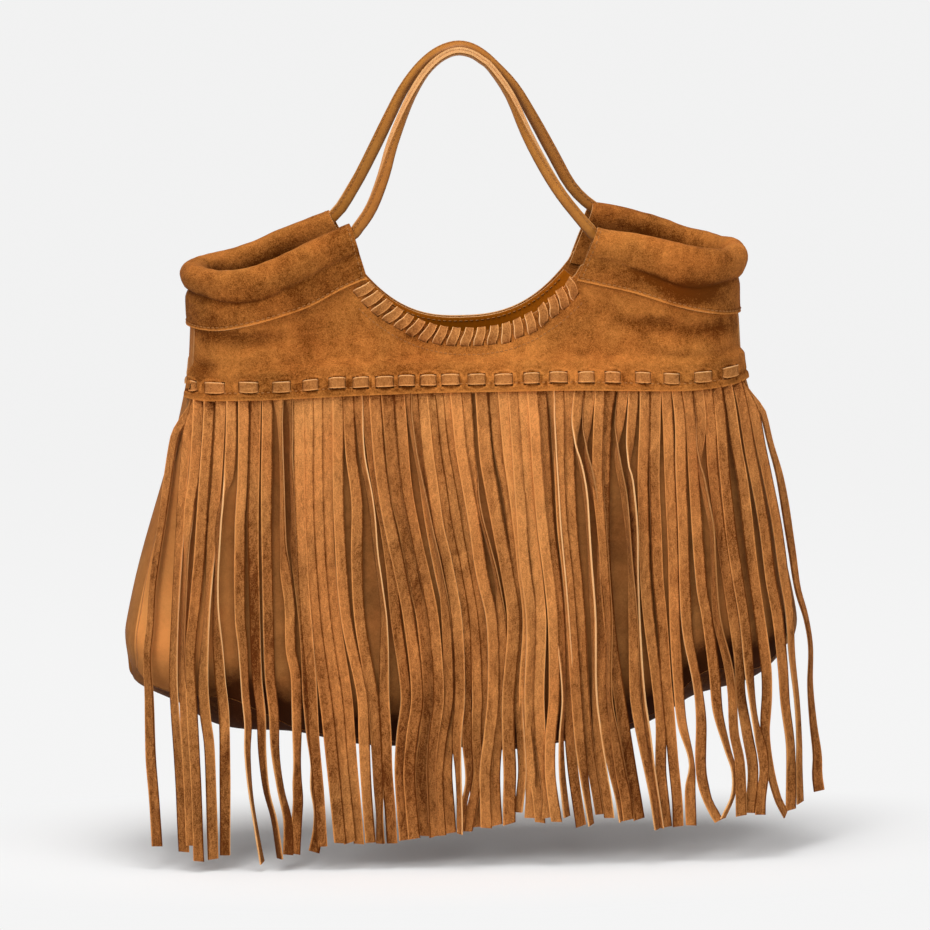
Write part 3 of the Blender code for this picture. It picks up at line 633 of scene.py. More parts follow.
# Where the seam lace's tabs show across the photograph, and there the bag's middle, half its width at the seam
# and the lace's height
LACE_AT = (
    196.5, 219, 250, 281, 310, 337, 361, 385, 407, 429, 451, 477, 504, 532, 559, 587, 614, 645, 674, 702, 727,
)
LACE_MIDDLE, LACE_REACH, LACE_HEIGHT = 465, 280, 381


def lace_rise(px):
    """How far above the seam the lace runs."""
    return 8.9 - 2.4 * bell(abs(px - LACE_MIDDLE) / LACE_REACH, 0, 0.75)


def front_tone(a, d, rise):
    """Painted shade in the front yoke's folds and dimple, broad lighter and darker stretches across it, and rings
    of painted highlight and shade round the slots where the lace pulls the suede in.
    """
    tone = 0.03 + 0.09 * bell(a, -150, 25) - 0.14 * bell(a, -70, 75) - 0.03 * bell(a, 130, 40)
    tone -= 0.50 * bell(d, 176 + 0.03 * a, 5) * window(a, -182, -115, 25)
    tone -= 0.34 * bell(d, 171 + 0.10 * (a - 100), 5) * window(a, 88, 178, 25)
    tone -= 0.55 * bell(a, -163, 7) * bell(d, 193, 6)
    tone -= 0.16 * bell(d, 163 + 0.75 * (a - 88), 4) * window(a, 80, 118, 12)
    tone -= 0.10 * bell(a + 0.5 * (d - 175), -100, 14) * bell(d, 178, 14)
    for px in LACE_AT:
        away = np.hypot(a - placed(px, LACE_HEIGHT, -42)[0], 1.45 * (rise - lace_rise(px)))
        tone += 0.28 * bell(away, 7.4, 0.9) - 0.38 * bell(away, 5.6, 1.1) - 0.10 * bell(away, 9.2, 1.2)
    return tone


def make_yoke(name, face, under):
    inner_part = np.linspace(-0.39, 0.39, 131)
    outer_part = 0.39 + 0.61 * np.sin(np.linspace(0, 1, 56) * math.pi / 2)
    shares = np.concatenate((-outer_part[:0:-1], inner_part, outer_part[1:]))
    low, top = lower_seam(shares, face), yoke_top(shares * CUFF_HALF, face)
    drop = mix(top, low, np.linspace(0, 1, 60)[:, None])
    across, rise = shares * panel_half(drop), low - drop
    offset = smooth((22 - rise) / 6.5) * under + 0.5 * bell(rise, 2.6, 2.2) - 0.55 * bell(rise, 5.2, 0.8)
    outer, inner = skin(across, drop, face, offset + SUEDE), skin(across, drop, face, np.maximum(offset, 0))
    # A lighter line along the cut lower edge, and painted shade in the stitch groove above it.
    tone = 0.55 * bell(rise, 0, 0.9) - 0.40 * bell(rise, 4.6, 0.9)
    if face == FRONT:
        tone += front_tone(across, drop, rise)
    return sheet(name, outer, inner, SUEDES, tone)


# For each cuff's lower edge and its rim: where it starts at the front and the back, and how far these ends sag
CUFF_ENDS = {
    LEFT: (((64, 66), (0, 0)), ((74.5, 83.5), (0.8, -2.6))),
    RIGHT: (((66, 66), (2.6, 0)), ((78.5, 80.5), (4.2, -3.6))),
}


def cuff_line(hand, table, ends, shifts):
    """Points on the skin round a cuff, from its front end to its back one."""
    share = np.sin(np.linspace(0, 1, 64) * math.pi / 2)
    sag = 1 - smooth(share / 0.8)
    side = half_width(table(CUFF_HALF)) - 0.2
    front, back = (
        skin(hand * mix(end, side, share), table(mix(end, side, share)) + shift * sag, face)
        for end, shift, face in zip(ends, shifts, (FRONT, BACK))
    )
    return np.vstack((front, back[-2::-1]))


def cuff_ring(hand, place, height, creased):
    """A section round a cuff's casing, as (out, up) from its lower edge, and the height of its roll."""
    inner_end = min(place, 1 - place)
    fat = 6.7 + 0.75 * bell(place, 0.5, 0.22) + 0.25 * math.sin(place * 31 + hand)
    tall = 7.4 + 2.2 * bell(inner_end, 0.22, 0.12) + 0.8 * bell(inner_end, 0, 0.1)
    flat = 0
    if hand == RIGHT:
        tall += 1.9 * bell(place, 0.5, 0.16) + 2.0 * bell(place, 0.21, 0.12)
        flat = 1.2 * smooth((inner_end - 0.2) / 0.15)
    pinch = 0.35 * math.sin(place * 23 + 2 * hand) + 0.25 * math.sin(place * 57)
    neck = height - 2 * tall
    crease = mix(0.86, 0.62, creased) * fat
    return along([
        (3.0 - flat, 0), (2.6 - 0.7 * flat, 2.5), (3.1 - flat, 0.3 * neck), (3.5 - flat, 0.72 * neck),
        (3.4 - 1.8 * creased - 0.3 * pinch, neck - 1.2), (crease, height - 1.8 * tall + pinch),
        (fat, height - tall), (0.74 * fat, height - 0.28 * tall), (0, height), (-0.74 * fat, height - 0.28 * tall),
        (-fat, height - tall), (-0.72 * fat, height - 1.75 * tall), (-2.7, neck - 1.2), (-2.3, 0.72 * neck),
        (-2.3, 0.3 * neck), (-2.3, 2.5), (-2.3, 0),
    ]), tall


def cuff_tone(hand, level, place, inner_end, creased):
    """Painted light and shade at each level of the rings, from the lower edge outside to the one inside: a lighter
    cut edge line, and painted shade in the stitch groove, the crease, under the roll and inside the casing.
    """
    # A lighter line at the cut lower edge, painted shade in the stitch groove above it, slightly lighter along the
    # top of the roll
    tone = 0.55 * bell(level, 0, 1.2) - 0.30 * bell(level, 2.6, 0.8) + 0.05 * bell(level, 24, 5)
    # Painted shade in the crease under the roll
    tone = tone - 0.42 * creased * bell(level, 13, 2.2)
    # Painted shade under the roll: over the whole left cuff, and a painted shadow on the front of the right one
    if hand == LEFT:
        inside, roll = 0.60, -0.04
        tone -= 0.26 * bell(level, 9, 6) + 0.10 * bell(level, 4, 4) + 0.035
    else:
        inside, roll = 0.50, 0.08
        tone -= 0.05 + 0.85 * bell(place, 0.22, 0.13) * bell(level, 9.3, 4.2)
    # Painted shade inside the casing, fading out at its ends
    tone -= inside * smooth((level - 26) / 7) * smooth((inner_end - 0.04) / 0.1)
    # On the front half of the roll: a painted highlight on the right cuff, a little painted shade on the left
    return tone + roll * bell(level, 18, 5) * (place < 0.5)


def make_cuff(name, hand):
    (low_ends, low_shifts), (rim_ends, rim_shifts) = CUFF_ENDS[hand]
    low, rim = cuff_line(hand, LOWS[hand], low_ends, low_shifts), cuff_line(hand, RIMS[hand], rim_ends, rim_shifts)
    up = unit(rim - low)
    normal = unit(np.cross(unit(np.gradient((low + rim) / 2, axis=0)), up))
    if normal[0, 1] > 0:
        normal = -normal
    height = np.linalg.norm(rim - low, axis=1)
    places = np.linspace(0, 1, len(low))
    inner_ends = np.minimum(places, 1 - places)
    creased = smooth((inner_ends - (0.12 if hand == LEFT else 0.04)) / 0.12)
    rings, tall = zip(*(cuff_ring(hand, *values) for values in zip(places, height, creased)))
    rings = np.array(rings)
    ahead = unit(np.gradient(rings, axis=1))
    away = np.stack((ahead[..., 1], -ahead[..., 0]), -1)
    levels = np.arange(rings.shape[1])
    wave = np.zeros(rings.shape[:2])
    for k, place in enumerate(places):
        for m in levels:
            spot = Vector((place * 13, m * 0.11, hand * 7))
            wave[k, m] = 0.75 * noise.noise(spot) + 0.35 * noise.noise(spot * 2.6)
    calm = smooth((levels - 3) / 10) * smooth((levels[-1] - 3 - levels) / 6)
    rings = rings + away * (wave * calm)[..., None]
    base = low + normal * 0.8

    def side(shift):
        moved = rings + away * shift
        return base[:, None] + normal[:, None] * moved[..., :1] + up[:, None] * moved[..., 1:]

    outer, inner = side(SUEDE / 2), side(-SUEDE / 2)
    tone = cuff_tone(hand, levels, places[:, None], inner_ends[:, None], creased[:, None])
    made = sheet(name, outer, inner, SUEDES, tone)
    rows = [(mix(outer[:, 2], outer[:, 3], 0.4), normal)]
    for i, beside in ((0, 1), (-1, -2)):
        line = outer[beside, 2:26]
        rows.append((line, np.tile(normal[i], (len(line), 1))))
    stitches(name + "_stitching", rows)
    return made, base + up * (height - tall)[:, None], up


# Laces
def neck_at(across, down, side, offset, face=FRONT):
    """A point near the neckline: down from its edge, along it, and off the skin."""
    slope = (neck_drop(across + 0.3, face) - neck_drop(across - 0.3, face)) / 0.6
    edge = unit(np.array([1, slope]))
    place = np.array([across, neck_drop(across, face)]) + edge * side + np.array([-edge[1], edge[0]]) * down
    return skin(place[0], place[1], face, offset)


def neck_spots(pitch):
    """Where the lace passes the neckline."""
    across = np.linspace(-NECK_HALF, NECK_HALF, 1200)
    run = path_length(np.column_stack((across, neck_drop(across))))
    count = int((run[-1] - 8) / pitch)
    first = (run[-1] - (count - 1) * pitch) / 2
    return np.interp(np.linspace(3.2, run[-1] - first, count + 1), run, across)


def make_lace(name, path, wide, width_at, thickness, curl):
    """A flat lace along a path. width_at gives its width at each step."""
    path, wide = along(path), unit(along(wide))
    section = [strip_section(width, thickness, curl) for width in width_at(np.arange(len(path)))]
    pile = Pile()
    pile.add(*strip(path, wide, section), np.tile(LACE_TONE, len(path)))
    pile.make(name, [lace_suede, suede_edge])


def make_neckline_lace():
    path, wide, blocks = [], [], []
    for across in neck_spots(7.75):
        lean = 2.6 + random.uniform(-0.5, 0.5) + (1.6 if across > 40 else 0)
        turn = random.uniform(-0.14, 0.14) + (random.uniform(-0.25, 0.3) if across > 38 else 0)
        low = 8.7 + random.uniform(-0.6, 0.6)
        for down, side, offset in (
            (low + 0.4, -0.2, -1.1), (low, 0, 1.4), (low - 1.6, 0.3, 2.8), (low / 2, 0.55 * lean, 3.5),
            (1.6, 0.85 * lean, 3.3), (-0.7, lean, 2.4), (-1.5, lean + 0.4, 0.8), (-0.7, lean + 0.8, -0.7),
            (2.5, lean + 1.8, -1.4), (low - 2.5, lean + 3.4, -1.4),
        ):
            point = neck_at(across, down, side, offset)
            path.append(point)
            wide.append(neck_at(across, down + 2 * math.sin(turn), side + 2 * math.cos(turn), offset) - point)
        blocks.append(block(
            lambda side, end, offset: neck_at(across, low - 0.1 + end * 1.2, 0.7 + side * 3.0, offset), (-2.5, 4.5),
        ))
    make_lace("neckline_lace", path, wide, lambda step: 5.1 + 0.6 * np.sin(step * math.pi / 15), 1.2, 0.45)
    return blocks


# The seam lace's width over one tab and the gap after it
TAB_WIDTHS = (4.5, 5.3, 6.3, 6.6, 6.6, 6.3, 5.3, 4.5, 4.8)


def seam_spot(across, rise, offset):
    """A point this far above the front's lower seam, off the skin and within the panel."""
    half = panel_half(seam_drop(across) - rise) - 3.5
    across = np.clip(across, -half, half)
    return skin(across, seam_drop(across) - rise, FRONT, offset)


def make_seam_lace():
    path, wide, blocks = [], [], []
    base = UNDER_FRONT + SUEDE
    for px in LACE_AT:
        near_side = abs(px - LACE_MIDDLE) / LACE_REACH
        across, _ = placed(px, LACE_HEIGHT, -46 + 30 * max(near_side - 0.75, 0) / 0.25)
        half = 4.5 + random.uniform(-0.4, 0.4) - (1.6 if near_side > 0.95 else 0)
        rise = lace_rise(px) + random.uniform(-0.25, 0.25)
        tilt = random.uniform(-0.035, 0.035)
        for side, offset in ((-1.1, 2.1), (-1.0, base - 0.5), (-0.84, base + 0.9), (-0.4, base + 1.7),
                             (0.4, base + 1.7), (0.84, base + 0.9), (1.0, base - 0.5), (1.1, 2.1)):
            here = across + side * half
            path.append(seam_spot(here, rise + tilt * side * half, offset))
            wide.append(seam_spot(here, rise - 2, offset) - seam_spot(here, rise + 2, offset))
        for spot in (across - half, across + half):
            blocks.append(block(
                lambda end, level, offset: seam_spot(spot + end * 0.9, rise + level * 3.5, offset), (1.6, 8),
            ))
    make_lace("seam_lace", path, wide, lambda step: np.interp(step / 3 % 8, range(9), TAB_WIDTHS), 1.1, 0.6)
    return blocks


def make_facing():
    across = np.linspace(-62, 62, 90)
    outer, inner = [], []
    for down in np.linspace(0.3, 12.5, 12):
        lift = -0.3 + 0.35 * bell(down, 1.5, 1.5) + 0.3 * bell(down, 11.5, 1.2)
        for side, below in ((outer, 0.9), (inner, 2.1)):
            side.append([neck_at(a, down, 0, -lift - below, BACK) for a in across])
    finishes = [facing_leather, suede_edge]
    made = sheet("back_neck_facing", np.array(outer), np.array(inner), finishes)
    rows = []
    for down in (2.4, 10.6):
        line = np.array([neck_at(a, down, 0, -2.1, BACK) for a in across[2:-2]])
        rows.append((line, np.tile((0, -1.0, 0), (len(line), 1))))
    stitches("facing_stitching", rows)
    return made


# Fringe. Each strip: how much wider than usual it is, the places x,y in the photograph that it passes, and how
# it is turned there, as y,degrees: 0 shows its face, and negative turns its face to the left.
STRIPS = [
    (0, "188,394 176,430 169,468 162,519 153,580 150,625 147,656 149,695 150,733 151,762 154,800 157,846",
     "394,-45 519,-50 640,-55 740,-30 790,15 846,8"),
    (0, "191,398 184,470 178,560 175,620 173.6,676 175.5,714 178.4,752 181,790 184,852",
     "398,-20 500,-35 592,-50 700,-45 790,-25 852,-5"),
    (0, "199,398 194,476 189,509 185,592 183,640 184,700 188,770 191,845",
     "398,0 509,-30 545,-72 620,-70 700,-40 845,-10"),
    (0, "210,398 204,476 202,509 199,559 196,592 190,657 192,714 194,752 196,790 198.5,860",
     "398,0 560,5 657,0 752,-8 860,0"),
    (0, "221,398 217,476 214,509 211,545 208,592 203,676 205,714 209,743 211,790 213,859",
     "398,0 520,-20 592,-68 650,-50 714,-10 859,10"),
    (0, "232,398 229,476 224,493 219,520 216,600 220,676 224,714 225,771 225,855",
     "398,0 470,12 493,80 515,-68 610,-62 660,-20 771,5 855,0"),
    (0, "244,398 243,476 240,526 240,620 242.6,645 245,695 247.6,723 247,752 250,790 256,829 262,862",
     "398,0 580,5 700,40 760,62 862,66"),
    (0, "256,398 254,476 253,526 254.5,600 257,676 261,714 262,752 266,790 273.6,819 279.5,858",
     "398,0 600,-8 714,-45 790,-60 858,-62"),
    (0, "267.5,398 266.5,500 268,600 270,676 274,714 275.5,752 281,790 287.5,819 288,854",
     "398,0 600,10 714,25 790,50 854,10"),
    (0, "278,398 280,426 282,476 283,540 286,575 290,605 291,650 296,676 297,714 297,780 298,800 297,819 295,854",
     "398,-20 426,-70 545,-72 580,-15 680,8 760,40 800,5 854,0"),
    (0, "288,398 291,420 291,460 293.6,509 295,542 299,580 303.7,618 306.6,657 308,695 311,733 314,762 313,787 "
     "317.6,810 318,829 314,852",
     "398,-20 415,-72 520,-72 560,-30 657,-10 733,20 787,55 829,10 852,0"),
    (0, "298,398 299,470 301,542 306,620 311,680 314,740 319,800 322,846",
     "398,0 542,6 700,-8 800,14 846,0"),
    (1.2, "307.5,398 307,470 309,542 315,620 323,680 327,710 332,760 336,800 340,842",
     "398,3 542,0 842,0"),
    (0.9, "317,398 317,470 319,542 325.5,620 334,680 338,710 342,760 346,800 350,842",
     "398,-3 542,0 842,0"),
    (0, "327.5,398 327.5,470 329,542 335.5,620 347,695 350,735 352.6,771 356,810 359,844",
     "398,0 620,-4 771,6 844,0"),
    (0, "338,398 338,470 339.5,530 346.5,620 362,695 364,735 365.5,771 368,810 370.5,842",
     "398,0 620,5 740,-12 842,-30"),
    (0.4, "347.7,398 351,453 357,501 357,559 360,620 372.5,695 376,735 378,771 379,805 380,843",
     "398,0 620,-6 771,-25 815,-62 843,-55"),
    (0, "357,398 361.6,453 369,490 373,517 376,551 380,580 384,620 384,695 386,735 387,771 390,810 392,843",
     "398,-15 440,-62 500,-74 600,-68 680,-35 771,0 843,4"),
    (0, "365.5,398 372,453 380,501 385,526 391,567 396,620 406,695 402,735 400,771 402,810 404.5,840",
     "398,0 520,-14 640,-5 771,8 840,0"),
    (0.8, "374.5,398 378.5,453 385,501 390,526 399,567 409,620 417,695 412,735 409,771 411,805 414,838",
     "398,0 530,8 771,-4 838,0"),
    (1.6, "387,398 392,453 398,501 405,530 413,576 423,620 429,695 425,735 421,771 423,805 425.5,836",
     "398,0 560,-10 771,5 836,0"),
    (0, "399,398 402,440 407,490 416,538 424.6,576 433,620 438,695 433,735 430.5,771 432,805 434,835",
     "398,0 540,4 700,8 771,40 835,15"),
    (0, "406,398 411,431 418,466 425,498 431,526 439,564 446,620 448,695 442,735 438,771 439,805 441,835",
     "398,-30 425,-70 560,-74 620,-35 700,-6 835,0"),
    (0, "414.5,398 419,443 425,484 431,526 438,564 449,620 453,695 449,735 447,771 449,805 451,833",
     "398,6 560,10 833,0"),
    (0, "422,398 426,443 432,484 438,526 446,560 456,620 459,695 456,735 458,771 459,800 459,831",
     "398,0 600,-8 720,-30 771,-60 831,-60"),
    (0, "430,398 434.5,443 441,484 447,526 455,565 464,620 466,695 466,735 468,777 463,805 460.5,830",
     "398,0 620,0 735,20 790,62 830,55"),
    (0, "438,398 442.5,443 450,484 457,526 464,565 473,620 477,695 476,735 478,771 472,805 467,831",
     "398,0 620,4 735,8 790,-35 831,0"),
    (0.8, "447,398 453,443 460,484 467,526 474,570 483,620 485.5,695 482,735 477,771 476,800 477,827",
     "398,0 620,0 827,0"),
    (0.6, "455.5,398 460,443 467,484 474.5,526 481,570 491.5,620 493,695 489,735 484.5,771 485,800 486,827",
     "398,0 620,5 827,0"),
    (0, "466,398 469,443 474,486 480,517 488,545 495.5,576 501,620 502,695 498,735 495,771 495.5,800 497,825",
     "398,0 470,-20 500,-68 590,-72 640,-20 825,0"),
    (1.4, "481,398 485.5,453 492,493 499.5,534 506.5,570 513.5,620 508,695 508,735 509.5,771 509,800 509,823",
     "398,0 560,-8 700,5 823,0"),
    (0, "493,398 499,453 507,493 512.5,534 517,567 522,620 518,695 520,735 522,771 520,795 518,812",
     "398,0 530,12 640,-5 735,-50 812,-45"),
    (0, "502.5,398 508,453 514,493 519,534 522,567 527.5,620 524,695 527,735 530,771 531,800 530,818",
     "398,0 560,-10 818,0"),
    (0, "512.5,398 517,453 520.5,509 523.5,559 531,620 529,695 531,735 534,771 538,800 540,822",
     "398,0 560,4 700,8 822,-10"),
    (0, "522,398 526.5,460 531,526 537.5,584 540,620 538,695 540,735 543,771 546,795 545,817",
     "398,0 580,0 720,-20 771,35 817,10"),
    (0, "532,398 536,460 542,526 549,584 552,620 553.5,695 550,735 549.5,771 552,795 556,820",
     "398,0 560,-6 820,0"),
    (0, "541,398 545,460 549,526 555,576 559,620 563,695 561,735 562,771 565,800 567,816",
     "398,0 540,8 620,25 700,68 816,50"),
    (0, "549,398 552,426 556,476 559,526 563,576 566,620 569,695 570,735 573,771 577,800 581,826",
     "398,-20 430,-70 620,-68 700,-30 826,0"),
    (0, "559,398 559,460 562,526 567.5,576 571,620 576,695 579,735 583,771 587,800 590.5,824",
     "398,0 576,4 735,18 824,50"),
    (0, "569.7,398 569,460 572,526 576.5,576 580,620 584.5,695 588,735 593,771 597,795 600,814",
     "398,0 560,-5 700,-30 814,-55"),
    (0, "580,398 575,443 580,463 585,493 588,534 590,576 592.5,620 594,695 597,735 602,771 606,795 609,817",
     "398,0 425,25 443,84 462,-74 530,-72 620,-66 700,-68 760,-20 817,0"),
    (0, "590,398 585.5,448 590,473 595,498 599.5,526 601.5,576 602,620 601,695 606,735 613,771 618,795 621,821",
     "398,0 430,30 448,82 470,-70 520,-68 580,-30 695,0 771,30 821,60"),
    (0, "601,398 598,430 597.5,480 601,526 605,576 608,620 608,695 614,735 620,771 625,795 628,819",
     "398,0 460,-12 560,-40 695,-66 760,-25 819,0"),
    (0.6, "612,398 606,426 604,476 604,545 609,620 619,695 625,735 631,771 636,800 639,819",
     "398,0 476,0 620,-4 819,4"),
    (0, "624,398 617,446 618,462 624,493 628,530 630,559 633,620 635,695 641,735 648,771 653,800 656,827",
     "398,0 430,30 446,82 462,-72 560,-66 620,-40 695,0 760,30 827,70"),
    (0, "635,398 628.5,463 630,478 634,526 635,575 637,620 642,695 647,735 651,771 655,800 659,827",
     "398,0 440,30 463,80 480,-66 575,-62 695,-68 827,-30"),
    (0, "646,398 645,426 643,476 644,526 645.5,576 649,620 656,675 661,723 661,770 664,800 667,827",
     "398,0 530,0 700,-6 827,5"),
    (0, "657.5,398 655,426 654,476 656,526 658,576 663,630 666,680 669,713 673,760 677,800 678,826",
     "398,0 560,6 713,0 826,-6"),
    (0, "668,398 668,426 670,476 673,542 675,617 678,675 682,723 691,761 690,790 691,825",
     "398,0 470,-20 600,-10 723,30 761,60 790,10 825,0"),
    (0, "678,398 680,426 681,476 683,526 685,590 688,636 697,684 701,720 701,770 707,799 718,820",
     "398,0 560,4 690,30 770,-20 799,35 820,30"),
    (0, "689,398 692,443 695,493 698,542 702,590 707,617 714.6,675 718,713 728,751 733.7,770 733,795 723,818",
     "398,0 542,-6 675,10 740,55 780,62 818,50"),
    (0, "700,398 701,426 699,460 702,480 706,501 711,526 713,559 716.5,617 728,665 732,694 734,732 739.5,761 741,815",
     "398,0 440,30 460,82 478,-70 560,-72 617,-50 732,-40 815,-5"),
    (0, "710,398 711,430 714,476 722,540 728,580 733.7,617 739.5,660 741,694 747,732 753,770 750,813",
     "398,0 476,-15 560,-30 694,20 760,-10 813,0"),
    (0, "719.5,398 721,430 725,476 732,540 738,580 745,625 750,684 755,723 762,751 764,770 760.5,799 760,814",
     "398,0 540,0 640,20 723,55 770,-30 814,0"),
    (0, "730,397 733,430 742,476 748,526 753,570 759,612 766,665 767,694 765,732 770,770 777.7,799 785,813",
     "398,0 500,-6 610,-5 694,-25 732,30 799,55 813,60"),
    (0, "740.5,394 746,430 755,476 764,526 771,580 777.7,617 782.5,665 785,703 790,742 791,770 791,810",
     "394,0 500,10 617,0 742,25 810,0"),
    (0, "749,388 757,430 767,476 777,526 784,576 789,608 792,656 797,703 799,742 799,770 800,802",
     "388,10 576,30 656,50 742,60 802,55"),
    (0, "754,388 769,440 780,479 792,550 798,589 806,617 810.5,646 810,684 813,723 817,755 817,775 819,790.5",
     "388,40 440,55 560,50 640,60 740,30 790,5"),
]

# How far out the belly is, over a grid of places
GRID_ACROSS, GRID_DROP = np.linspace(-215, 215, 216), np.linspace(200, 520, 161)
belly = half_depth(GRID_ACROSS[:, None], GRID_DROP[None])
belly = np.max([np.roll(belly, step, 0) for step in range(-3, 4)], 0)
belly = np.maximum(np.maximum.accumulate(belly, axis=1), 11)


def lay(across, drop):
    """How far out a strip lies there: on the belly, or straight down from its widest part."""
    i = np.interp(across, GRID_ACROSS, np.arange(len(GRID_ACROSS)))
    j = np.interp(drop, GRID_DROP, np.arange(len(GRID_DROP)))
    i0, j0 = int(min(i, len(GRID_ACROSS) - 2)), int(min(j, len(GRID_DROP) - 2))
    near, far = mix(belly[i0, j0 : j0 + 2], belly[i0 + 1, j0 : j0 + 2], i - i0)
    return mix(near, far, j - j0)


def on_front(px, py, offset):
    """The point off the belly that shows at a place in the picture."""
    depth = -50.0
    for _ in range(8):
        across, drop = placed(px, py, depth)
        depth = -(lay(across, drop) + offset)
    return np.array([across, depth, drop])


STRIP_WIDTH, STRIP_LIFT, ROWS = 6.9, 3.2, 64
HEADER = np.array([-4.8, -1.8, 0.7])  # the header's rows, from the seam down


def pairs(words):
    """The rows of a table that is written as "x,y x,y"."""
    return np.array([word.split(",") for word in words.split()], float)


def trace_strip(places, turns, seed):
    """A strip's middle line from the header to its tip, and the way it is turned along it."""
    at = np.linspace(places[0, 1], places[-1, 1], ROWS)
    line = np.array([on_front(x, y, STRIP_LIFT) for x, y in zip(curve(*places[:, ::-1])(at), at)])
    for k in range(1, len(turns)):
        before = turns[k - 1, 1]
        if abs(turns[k, 1] - before) > 120:  # it turns on to its other side
            turns[k:, 1] += np.where(before > turns[k:, 1], 180, -180)
    wobble = np.array([noise.noise(Vector((seed * 3.7, y / 90, 0.5))) for y in at])
    return line, np.radians(curve(*turns)(at) + 16 * wobble * smooth((at - 410) / 60))


def spread(lines, angles, widths):
    """Moves strips that would run through each other one in front of the other, by how much at which drops."""
    drops = np.linspace(212, 500, 73)
    across = np.array([np.interp(drops, line[:, 2], line[:, 0]) for line in lines])
    angle = np.array([np.interp(drops, line[:, 2], a) for line, a in zip(lines, angles)])
    half = np.array(widths)[:, None] * np.abs(np.cos(angle)) / 2 + 0.6
    reach = np.array(widths)[:, None] * np.abs(np.sin(angle)) / 2
    depth = np.zeros_like(across)
    rank = np.array([noise.noise(Vector((i * 1.7, 4.2, 0))) for i in range(len(lines))]) + 0.02
    for _ in range(60):
        push = np.zeros_like(depth)
        for step in (1, 2, 3):
            over = (half[step:] + half[:-step]) - np.abs(across[step:] - across[:-step])
            share = np.clip(over / 1.5, 0, 1)
            need = share * (1.7 + 0.35 * np.minimum(reach[step:] + reach[:-step], 4))
            gap = depth[step:] - depth[:-step]
            front = np.where(np.abs(gap) > 0.25, np.sign(gap), np.sign(rank[step:] - rank[:-step])[:, None])
            short = np.clip(need - np.abs(gap), 0, None) * front * 0.3
            push[step:] += short
            push[:-step] -= short
        depth += push
        soft = depth.copy()
        soft[:, 1:-1] = (depth[:, :-2] + 2 * depth[:, 1:-1] + depth[:, 2:]) / 4
        depth = soft * 0.995
        depth[:, 0] = 0
        depth = np.clip(depth, -1.2, 7)
    return drops, (depth + 0.6) * smooth((drops - 213) / 22)


def hang(line, angle, width, forward):
    """Moves a strip's line clear of its neighbours, up to its header and inside the panel at its top."""
    line[:, 1] -= forward
    top = seam_drop(line[:, 0])
    line[:, 2] -= (line[0, 2] - top[0] + 3.5) * (1 - smooth(np.arange(ROWS) / 10))
    edge = panel_half(line[:, 2]) - 2.5
    line[:, 0] = mix(np.clip(line[:, 0], -edge, edge), line[:, 0], smooth((line[:, 2] - top + 2) / 26))
    reach = np.abs(np.sin(angle)) * width / 2
    line[:, 1] -= np.maximum(reach - 1.5, 0) * smooth((line[:, 2] - 214) / 25)
    start = smooth((line[:, 2] - (seam_drop(line[:, 0]) - 1)) / 4)
    line[:, 1] = mix(-(half_depth(line[:, 0], line[:, 2]) + 2.4), line[:, 1], start)
    return top


def strip_painted_light(across, drop, top):
    """Painted light and shade on a strip: painted light on the upper left, where the light falls, and a painted
    shadow just under the seam; also lighter on the belly and a little to the right, and darker toward the tips.
    """
    shade = 0.10 * bell(across, 0, 70) + 0.10 * bell(across, -120, 60) * smooth((330 - drop) / 80)
    shade += 0.04 * smooth((across - 60) / 100) - 0.16 * smooth((drop - 235) / 150)
    return shade - 0.08 * smooth((drop - 400) / 60) - 0.22 * bell(drop - top, 1, 4)


def make_fringe():
    widths = [STRIP_WIDTH + extra for extra, _, _ in STRIPS]
    traced = [trace_strip(pairs(places), pairs(turns), i) for i, (_, places, turns) in enumerate(STRIPS)]
    lines, angles = zip(*traced)
    drops, depth = spread(lines, angles, widths)
    pile = Pile()
    tones = random.normal(0.02, 0.11, len(STRIPS))
    share = np.linspace(0, 1, ROWS)
    for i, (line, angle, width) in enumerate(zip(lines, angles, widths)):
        top = hang(line, angle, width, np.interp(line[:, 2], drops, depth[i]))
        wide = np.stack((np.cos(angle), np.sin(angle), 0 * angle), -1)
        narrow = width * (1 - 0.06 * np.abs(np.sin(share * 9 + i)))
        curl = 0.5 * np.sin(share * 5 + i * 1.3) * smooth(share * 4)
        points, faces, which = strip(line, wide, [strip_section(w, 1.15, c) for w, c in zip(narrow, curl)])
        tip = points[-len(STRIP_EDGES):]
        tip[:, 2] += random.uniform(-0.25, 0.25) * (tip[:, 0] - line[-1, 0])
        # A painted highlight along one cut edge of each strip, the left one on most, and painted shade along the
        # other
        lit, unlit = (0.5, -0.5) if i * 7 % 10 < 7 else (-0.45, 0.4)
        edges = np.array([lit, lit, 0, 0, unlit, unlit, unlit, unlit, 0, 0, lit, lit])
        shade = tones[i] + strip_painted_light(line[:, 0], line[:, 2], top)
        pile.add(points, faces, which, (shade[:, None] + edges).reshape(-1))
    shares = np.linspace(-1, 1, 160)
    drop = seam_drop(shares * YOKE_HALF) + HEADER[:, None]
    header = [skin(shares * panel_half(drop), drop, FRONT, offset).reshape(-1, 3) for offset in (3.0, 1.8)]
    pile.add(np.concatenate(header), *sheet_faces(3, len(shares)))
    return pile.make("fringe", [fringe_suede, suede_edge])


